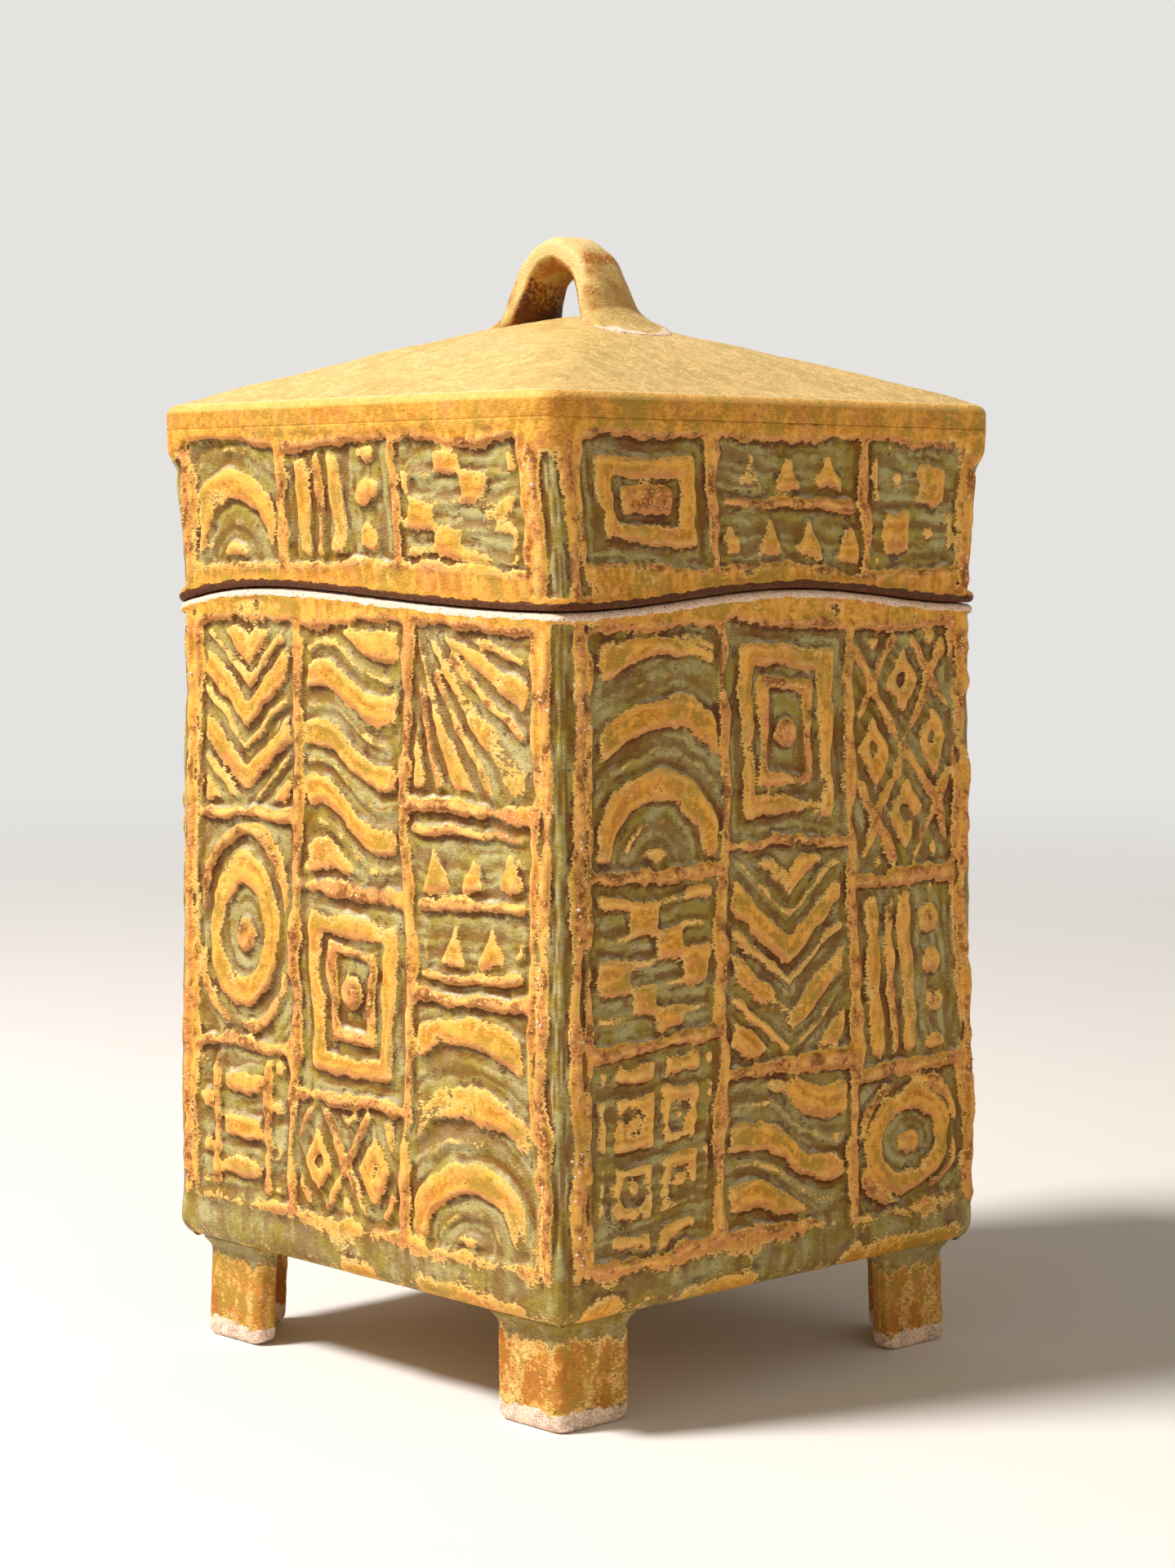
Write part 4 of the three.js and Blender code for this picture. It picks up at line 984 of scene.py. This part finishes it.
# Each tint as on a screen, in the ochre of the walls, the straw of the roof and the thin liner.
TINTS = {
    "Pool": ((158, 138, 58), (160, 126, 48), (150, 118, 56)),
    "Pool Light": ((188, 178, 126), (186, 158, 84), (176, 146, 84)),
    # The milk tint is partly a painted reflection on upward ledges, and the deep and crevice tints are also
    # painted shade beside and under the relief.
    "Milk And Sheen": ((218, 212, 176), (210, 190, 130), (190, 166, 110)),
    "Deep Pool And Shade": ((120, 70, 12), (112, 66, 14), (110, 78, 30)),
    "Crevice Shade": ((90, 46, 8), (96, 54, 14), (88, 58, 24)),
    "Raised": ((240, 176, 74), (212, 181, 116), (190, 142, 70)),
    "Mottle": ((198, 132, 38), (190, 157, 92), (176, 126, 56)),
    "Toast": ((170, 103, 37), (160, 92, 24), (170, 118, 54)),
    "Wash": ((172, 142, 52), (184, 158, 90), (166, 136, 66)),
    "Thin": ((250, 206, 124), (246, 220, 160), (208, 166, 98)),
    "Ridge": ((214, 142, 84), (224, 178, 110), (186, 130, 74)),
    "Spots": ((132, 74, 32), (176, 116, 50), (130, 80, 40)),
}
OCHRE, STRAW, LINER = ({key: tone(*tints[glaze]) for key, tints in TINTS.items()} for glaze in range(3))
CLAY = {"Light": tone(252, 232, 212), "Dark": tone(226, 188, 160), "Specks": tone(160, 104, 74)}
# How high the glaze's fine surface stands, in metres.
PEEL = 0.00018

PLACES = ("Relief", "Soft", "Arris", "Shelf", "Strokes", "Crest", "Amber")
glaze_break = group("glaze break",
                    {"Place": "v", **dict.fromkeys(PLACES, "f"), **dict.fromkeys(TINTS, "c")},
                    {"Color": "c", "Roughness": "f", "Height": "f"}, fill_break)
bare_clay = group("bare clay", {"Place": "v", "Light": "c", "Dark": "c", "Specks": "c"},
                  {"Color": "c", "Height": "f"}, fill_clay)
glaze_skin = group("glaze skin", {"Place": "v"}, {"Height": "f", "Pinholes": "f"}, fill_skin)


def surface(name):
    """A new material, its nodes and its main shader."""
    material = bpy.data.materials.new(name)
    material.use_nodes = True
    return material, Nodes(material.node_tree), material.node_tree.nodes["Principled BSDF"]


def glaze(name, colours):
    """A glaze over the pressed surface, with bare clay and iron brown where the mesh is marked so."""
    material, n, shader = surface(name)
    place = n.add("ShaderNodeTexCoord").outputs["Object"]
    marks = {key: n.mark(key.lower()) for key in PLACES}
    broken = n.add("ShaderNodeGroup", node_tree=glaze_break,
                   inputs={"Place": place, **marks, **colours}).outputs
    clay = n.add("ShaderNodeGroup", {"Place": place, **CLAY}, node_tree=bare_clay).outputs
    skin = n.add("ShaderNodeGroup", {"Place": place}, node_tree=glaze_skin).outputs
    # Iron brown where the mesh is marked brown; under the handle's arch this brown is partly painted shade.
    iron = n.blend(n.noise(place, 1.2, 3.0), tone(66, 34, 16), tone(120, 70, 34))
    rough_edge = n.noise(place, 0.8, 3.0)
    iron_and_shade = n.step(n.sums(n.mark("brown"), (rough_edge, 0.9), -0.45), 0.4, 0.62)
    bare = n.step(n.sums(n.mark("clay"), (rough_edge, 0.8), -0.4), 0.4, 0.6)
    colour = n.blend(bare, n.blend(iron_and_shade, broken["Color"], iron), clay["Color"])
    pin = n.step(skin["Pinholes"], 0.0, 1.0, 0.72, 1.0)
    colour = n.add("ShaderNodeMix", {0: 1.0, 6: colour, 7: pin}, data_type="RGBA",
                   blend_type="MULTIPLY").outputs[2]
    height = n.sums(skin["Height"], (n.times(clay["Height"], bare), 0.8), broken["Height"])
    bump = n.add("ShaderNodeBump", {"Height": height, "Distance": PEEL, "Strength": 1.0})
    rough = n.blend(bare, broken["Roughness"], (0.8, 0.8, 0.8, 1))
    for key, value in {"Base Color": colour, "Roughness": rough, "Normal": bump.outputs["Normal"],
                       "IOR": 1.5, "Specular IOR Level": 0.14}.items():
        n.give(shader.inputs[key], value)
    return material


# Trees for what follows a path or lies strewn on a surface

def geometry_tree(name, sizes, seed, fill):
    """A Geometry Nodes tree with named sizes and a seed, ending in real geometry with its material."""
    tree = bpy.data.node_groups.new(name, "GeometryNodeTree")
    kinds = {"Geometry": "NodeSocketGeometry", **dict.fromkeys(sizes, "NodeSocketFloat"), "Seed": seed,
             "Material": "NodeSocketMaterial"}
    for key, kind in kinds.items():
        tree.interface.new_socket(key, in_out="INPUT", socket_type=kind)
    tree.interface.new_socket("Geometry", in_out="OUTPUT", socket_type="NodeSocketGeometry")
    n = Nodes(tree)
    given = n.add("NodeGroupInput").outputs
    shape = n.add("GeometryNodeSetShadeSmooth", {"Geometry": fill(n, given)}).outputs["Geometry"]
    real = n.add("GeometryNodeRealizeInstances", {"Geometry": shape}).outputs["Geometry"]
    done = n.add("GeometryNodeSetMaterial", {"Geometry": real, "Material": given["Material"]})
    n.add("NodeGroupOutput", {"Geometry": done.outputs["Geometry"]})
    return tree


def grow(name, start, tree, values):
    """Runs a tree on a mesh and keeps the result as a plain mesh object."""
    seed = put(name + "_start", start)
    modifier = seed.modifiers.new(tree.name, "NODES")
    modifier.node_group = tree
    names = {item.name: item.identifier for item in tree.interface.items_tree if item.in_out == "INPUT"}
    for key, value in values.items():
        modifier[names[key]] = value
    seed.update_tag()
    mesh = bpy.data.meshes.new_from_object(seed.evaluated_get(bpy.context.evaluated_depsgraph_get()))
    mesh.name = name
    seed.modifiers.clear()
    bpy.data.objects.remove(seed)
    return put(name, mesh)


def marked(n, shape, **marks):
    """The same shape with each mark stored on it for the glaze."""
    for mark, value in marks.items():
        shape = n.add("GeometryNodeStoreNamedAttribute",
                      {"Geometry": shape, "Name": mark, "Value": value}).outputs["Geometry"]
    return shape


def fill_coil(n, given):
    """A clay coil along each line, dented at every press of the thumb."""
    curve = n.add("GeometryNodeMeshToCurve", {"Mesh": given["Geometry"]}).outputs["Curve"]
    curve = n.add("GeometryNodeResampleCurve", {"Curve": curve, "Length": given["Step"]}, mode="LENGTH")
    place = n.add("GeometryNodeInputPosition").outputs["Position"]
    along = n.add("GeometryNodeSplineParameter").outputs["Length"]
    turns = n.times(n.calc("DIVIDE", along, given["Dent Pitch"]), 2 * math.pi)
    press = n.calc("SINE", turns)
    uneven = n.add("ShaderNodeTexNoise", {"Vector": place, "W": given["Seed"], "Scale": 110.0},
                   noise_dimensions="4D").outputs["Fac"]
    width = n.sums((n.times(press, given["Dent Depth"]), 1.0), (uneven, 0.24), 0.88)
    profile = n.add("GeometryNodeCurvePrimitiveCircle", {"Resolution": 20, "Radius": given["Radius"]})
    tube = n.add("GeometryNodeCurveToMesh", {"Curve": curve.outputs["Curve"], "Scale": width,
                                             "Profile Curve": profile.outputs["Curve"], "Fill Caps": True})
    return marked(n, tube.outputs["Mesh"], relief=0.58, soft=0.58)


def fill_beads(n, given):
    """Small round beads of glaze strewn over a surface, of uneven size."""
    share = n.add("GeometryNodeInputNamedAttribute", {"Name": "bead"}, data_type="FLOAT")
    strewn = n.add("GeometryNodeDistributePointsOnFaces",
                   {"Mesh": given["Geometry"], "Distance Min": given["Spacing"],
                    "Density Max": given["Density"], "Density Factor": share.outputs["Attribute"],
                    "Seed": given["Seed"]}, distribute_method="POISSON")
    size = n.add("FunctionNodeRandomValue",
                 {2: given["Smallest"], 3: given["Largest"], "Seed": given["Seed"]}, data_type="FLOAT")
    ball = n.add("GeometryNodeMeshIcoSphere", {"Radius": 1.0, "Subdivisions": 2})
    beads = n.add("GeometryNodeInstanceOnPoints",
                  {"Points": strewn.outputs["Points"], "Instance": ball.outputs["Mesh"],
                   "Rotation": strewn.outputs["Rotation"], "Scale": size.outputs[1]})
    real = n.add("GeometryNodeRealizeInstances", {"Geometry": beads.outputs["Instances"]})
    return marked(n, real.outputs["Geometry"], relief=0.6, soft=0.6, arris=1.0, clay=0.9)


seam_coil = geometry_tree("seam coil", ("Radius", "Step", "Dent Pitch", "Dent Depth"),
                          "NodeSocketFloat", fill_coil)
glaze_beads = geometry_tree("glaze beads", ("Smallest", "Largest", "Spacing", "Density"),
                            "NodeSocketInt", fill_beads)


def seam_coils(name, lines, body, nodes, material):
    """Coils of clay pressed into the inside seams, along lines given in millimetres."""
    points, edges = [], []
    for line in lines:
        edges += [(len(points) + k, len(points) + k + 1) for k in range(len(line) - 1)]
        points += [tuple(np.array(point) * MM) for point in line]
    paths = bpy.data.meshes.new(name + "_paths")
    paths.from_pydata(points, edges, [])
    obj = grow(name, paths, seam_coil, {"Radius": COIL_RADIUS * MM, "Step": 1.5 * MM,
                                        "Dent Pitch": 9 * MM, "Dent Depth": 0.07, "Seed": 5.0,
                                        "Material": material})
    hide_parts(*nodes)
    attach(obj, body)
    return obj


def upright_lines(half_at, low, high):
    """A line up each inside corner, from +X and -Y round."""
    reach = [half_at(z) - WALL - 2.2 for z in (low, high)]
    line = np.array([[reach[0], -reach[0], low], [reach[1], -reach[1], high]])
    return [turned(line, quarters) for quarters in range(4)]


def floor_lines():
    """A line along the foot of each wall inside."""
    inside = box_half(FLOOR_TOP + 4) - WALL
    end, aside, z = inside - 4.3, 2.2 - inside, FLOOR_TOP + 1.8
    line = np.array([[-end, aside, z], [end, aside, z]])
    return [turned(line, quarters) for quarters in range(4)]


def arris_beads(name, walls, body, material):
    """Beads of glaze on the ridges beside the corners and here and there on the others."""
    points, quads, shares = [], [], []
    for wall in walls:
        mesh = wall.data
        place = drawn(mesh.vertices, "co", 3)
        share = drawn(mesh.attributes["bead"].data, "value")
        fours = int((drawn(mesh.polygons, "loop_total", kind=np.int32) == 4).sum())
        faces = drawn(mesh.loops, "vertex_index", kind=np.int32)[:4 * fours].reshape(-1, 4)
        faces = faces[share[faces].max(1) > 0.05]
        faces = faces[np.abs(place[faces][..., :2]).max((1, 2)) < (BASE_WIDTH / 2 - 0.35) * MM]
        used, index = np.unique(faces, return_inverse=True)
        quads.append(index.reshape(-1, 4) + sum(len(p) for p in points))
        points.append(place[used])
        shares.append(share[used])
    ground = bpy.data.meshes.new(name + "_ground")
    ground.from_pydata(np.concatenate(points).tolist(), [], np.concatenate(quads).tolist())
    ground.attributes.new("bead", "FLOAT", "POINT").data.foreach_set("value", np.concatenate(shares))
    obj = grow(name, ground, glaze_beads, {"Smallest": 0.18 * MM, "Largest": 0.36 * MM,
                                           "Spacing": 1.0 * MM, "Density": 9e5, "Seed": 3,
                                           "Material": material})
    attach(obj, body)
    return obj


PALE = (1.0, 0.985, 0.96, 1)
PALE_STRENGTH = 0.78


def pale_floor():
    """A plain pale floor that fades into the pale surroundings away from the object."""
    material, n, shader = surface("pale_floor")
    place = n.add("ShaderNodeTexCoord").outputs["Object"]
    grain = n.noise(place, 40.0, 4.0)
    n.give(shader.inputs["Base Color"], n.blend(grain, (0.73, 0.715, 0.69, 1), (0.76, 0.745, 0.72, 1)))
    shader.inputs["Roughness"].default_value = 0.9
    away = n.add("ShaderNodeVectorMath", {0: place}, operation="LENGTH").outputs["Value"]
    glow = n.add("ShaderNodeEmission", {"Color": PALE, "Strength": PALE_STRENGTH})
    fade = n.add("ShaderNodeMixShader", {0: n.times(n.step(away, 0.25, 1.5), n.seen())})
    n.give(fade.inputs[1], shader.outputs["BSDF"])
    n.give(fade.inputs[2], glow.outputs["Emission"])
    n.give(material.node_tree.nodes["Material Output"].inputs["Surface"], fade.outputs["Shader"])
    return material


ochre_glaze = glaze("ochre_glaze_broken_green", OCHRE)
straw_glaze = glaze("straw_glaze_smoothed", STRAW)
liner_glaze = glaze("liner_glaze_thin", LINER)

relief = Relief()
box_walls = [box_wall(side, relief, [ochre_glaze, liner_glaze]) for side in range(4)]
lid_walls = [lid_wall(side, relief, [ochre_glaze, liner_glaze]) for side in range(4)]
roof([straw_glaze, ochre_glaze])
handle([straw_glaze])
for corner in range(4):
    foot(corner, [ochre_glaze])
floor([liner_glaze])
seam_coils("pressed_seam_coils", upright_lines(box_half, FLOOR_TOP, SEAM_CORNER - 3) + floor_lines(),
           "box", [f"corner_coil_{corner}" for corner in CORNERS] + [f"floor_coil_{side}" for side in SIDES],
           liner_glaze)
seam_coils("pressed_lid_coils", upright_lines(lid_half, SEAM_CORNER + 3, ROOF_UNDERSIDE - 0.3), "lid",
           [f"lid_coil_{corner}" for corner in CORNERS], liner_glaze)
arris_beads("glaze_beads_box", box_walls, "box", straw_glaze)
arris_beads("glaze_beads_lid", lid_walls, "lid", straw_glaze)

# Camera, floor and lights

AZIMUTH, PITCH = math.radians(46.8), math.radians(4.4)
CAMERA_AWAY, CAMERA_ASIDE, CAMERA_HEIGHT = 0.6802, 0.0026, 0.1686
back = Vector((math.sin(AZIMUTH), -math.cos(AZIMUTH), 0))
right = Vector((math.cos(AZIMUTH), math.sin(AZIMUTH), 0))
ahead = -back * math.cos(PITCH) - Vector((0, 0, math.sin(PITCH)))
camera = put("camera", bpy.data.cameras.new("camera"))
camera.data.lens = 75.4
camera.data.sensor_width = 36
camera.data.clip_start = 0.01
camera.location = back * CAMERA_AWAY + right * CAMERA_ASIDE + Vector((0, 0, CAMERA_HEIGHT))
camera.rotation_euler = ahead.to_track_quat("-Z", "Y").to_euler()
bpy.context.scene.camera = camera

ground_mesh = bpy.data.meshes.new("pale_floor")
corners = [Vector((math.cos(t), math.sin(t), 0)) * 3 for t in np.linspace(0, 2 * math.pi, 97)[:-1]]
ground_mesh.from_pydata(corners, [], [tuple(range(96))])
ground_mesh.materials.append(pale_floor())
ground = put("pale_floor", ground_mesh)


def lamp(name, place, size, power, colour):
    """A round lamp that looks at the middle of the box."""
    light = bpy.data.lights.new(name, "AREA")
    light.shape = "DISK"
    light.size = size
    light.energy = power
    light.color = colour
    obj = put(name, light)
    obj.location = place
    obj.rotation_euler = (Vector((0, 0, 0.11)) - Vector(place)).to_track_quat("-Z", "Y").to_euler()


lamp("window", (-0.42, -0.92, 1.42), 0.4, 43, (1.0, 0.96, 0.93))
lamp("fill", (1.6, -0.4, 0.5), 1.4, 2.8, (1.0, 0.86, 0.66))

# The world lights the object plainly, and is pale where it is seen directly or mirrored.
world = bpy.data.worlds.new("studio")
world.use_nodes = True
bpy.context.scene.world = world
n = Nodes(world.node_tree)
background = world.node_tree.nodes["Background"]
seen = n.seen()
n.give(background.inputs["Color"], n.blend(seen, (1.0, 0.885, 0.72, 1), PALE))
n.give(background.inputs["Strength"], n.step(seen, 0, 1, 0.31, PALE_STRENGTH))

bpy.context.scene.view_settings.view_transform = "Standard"
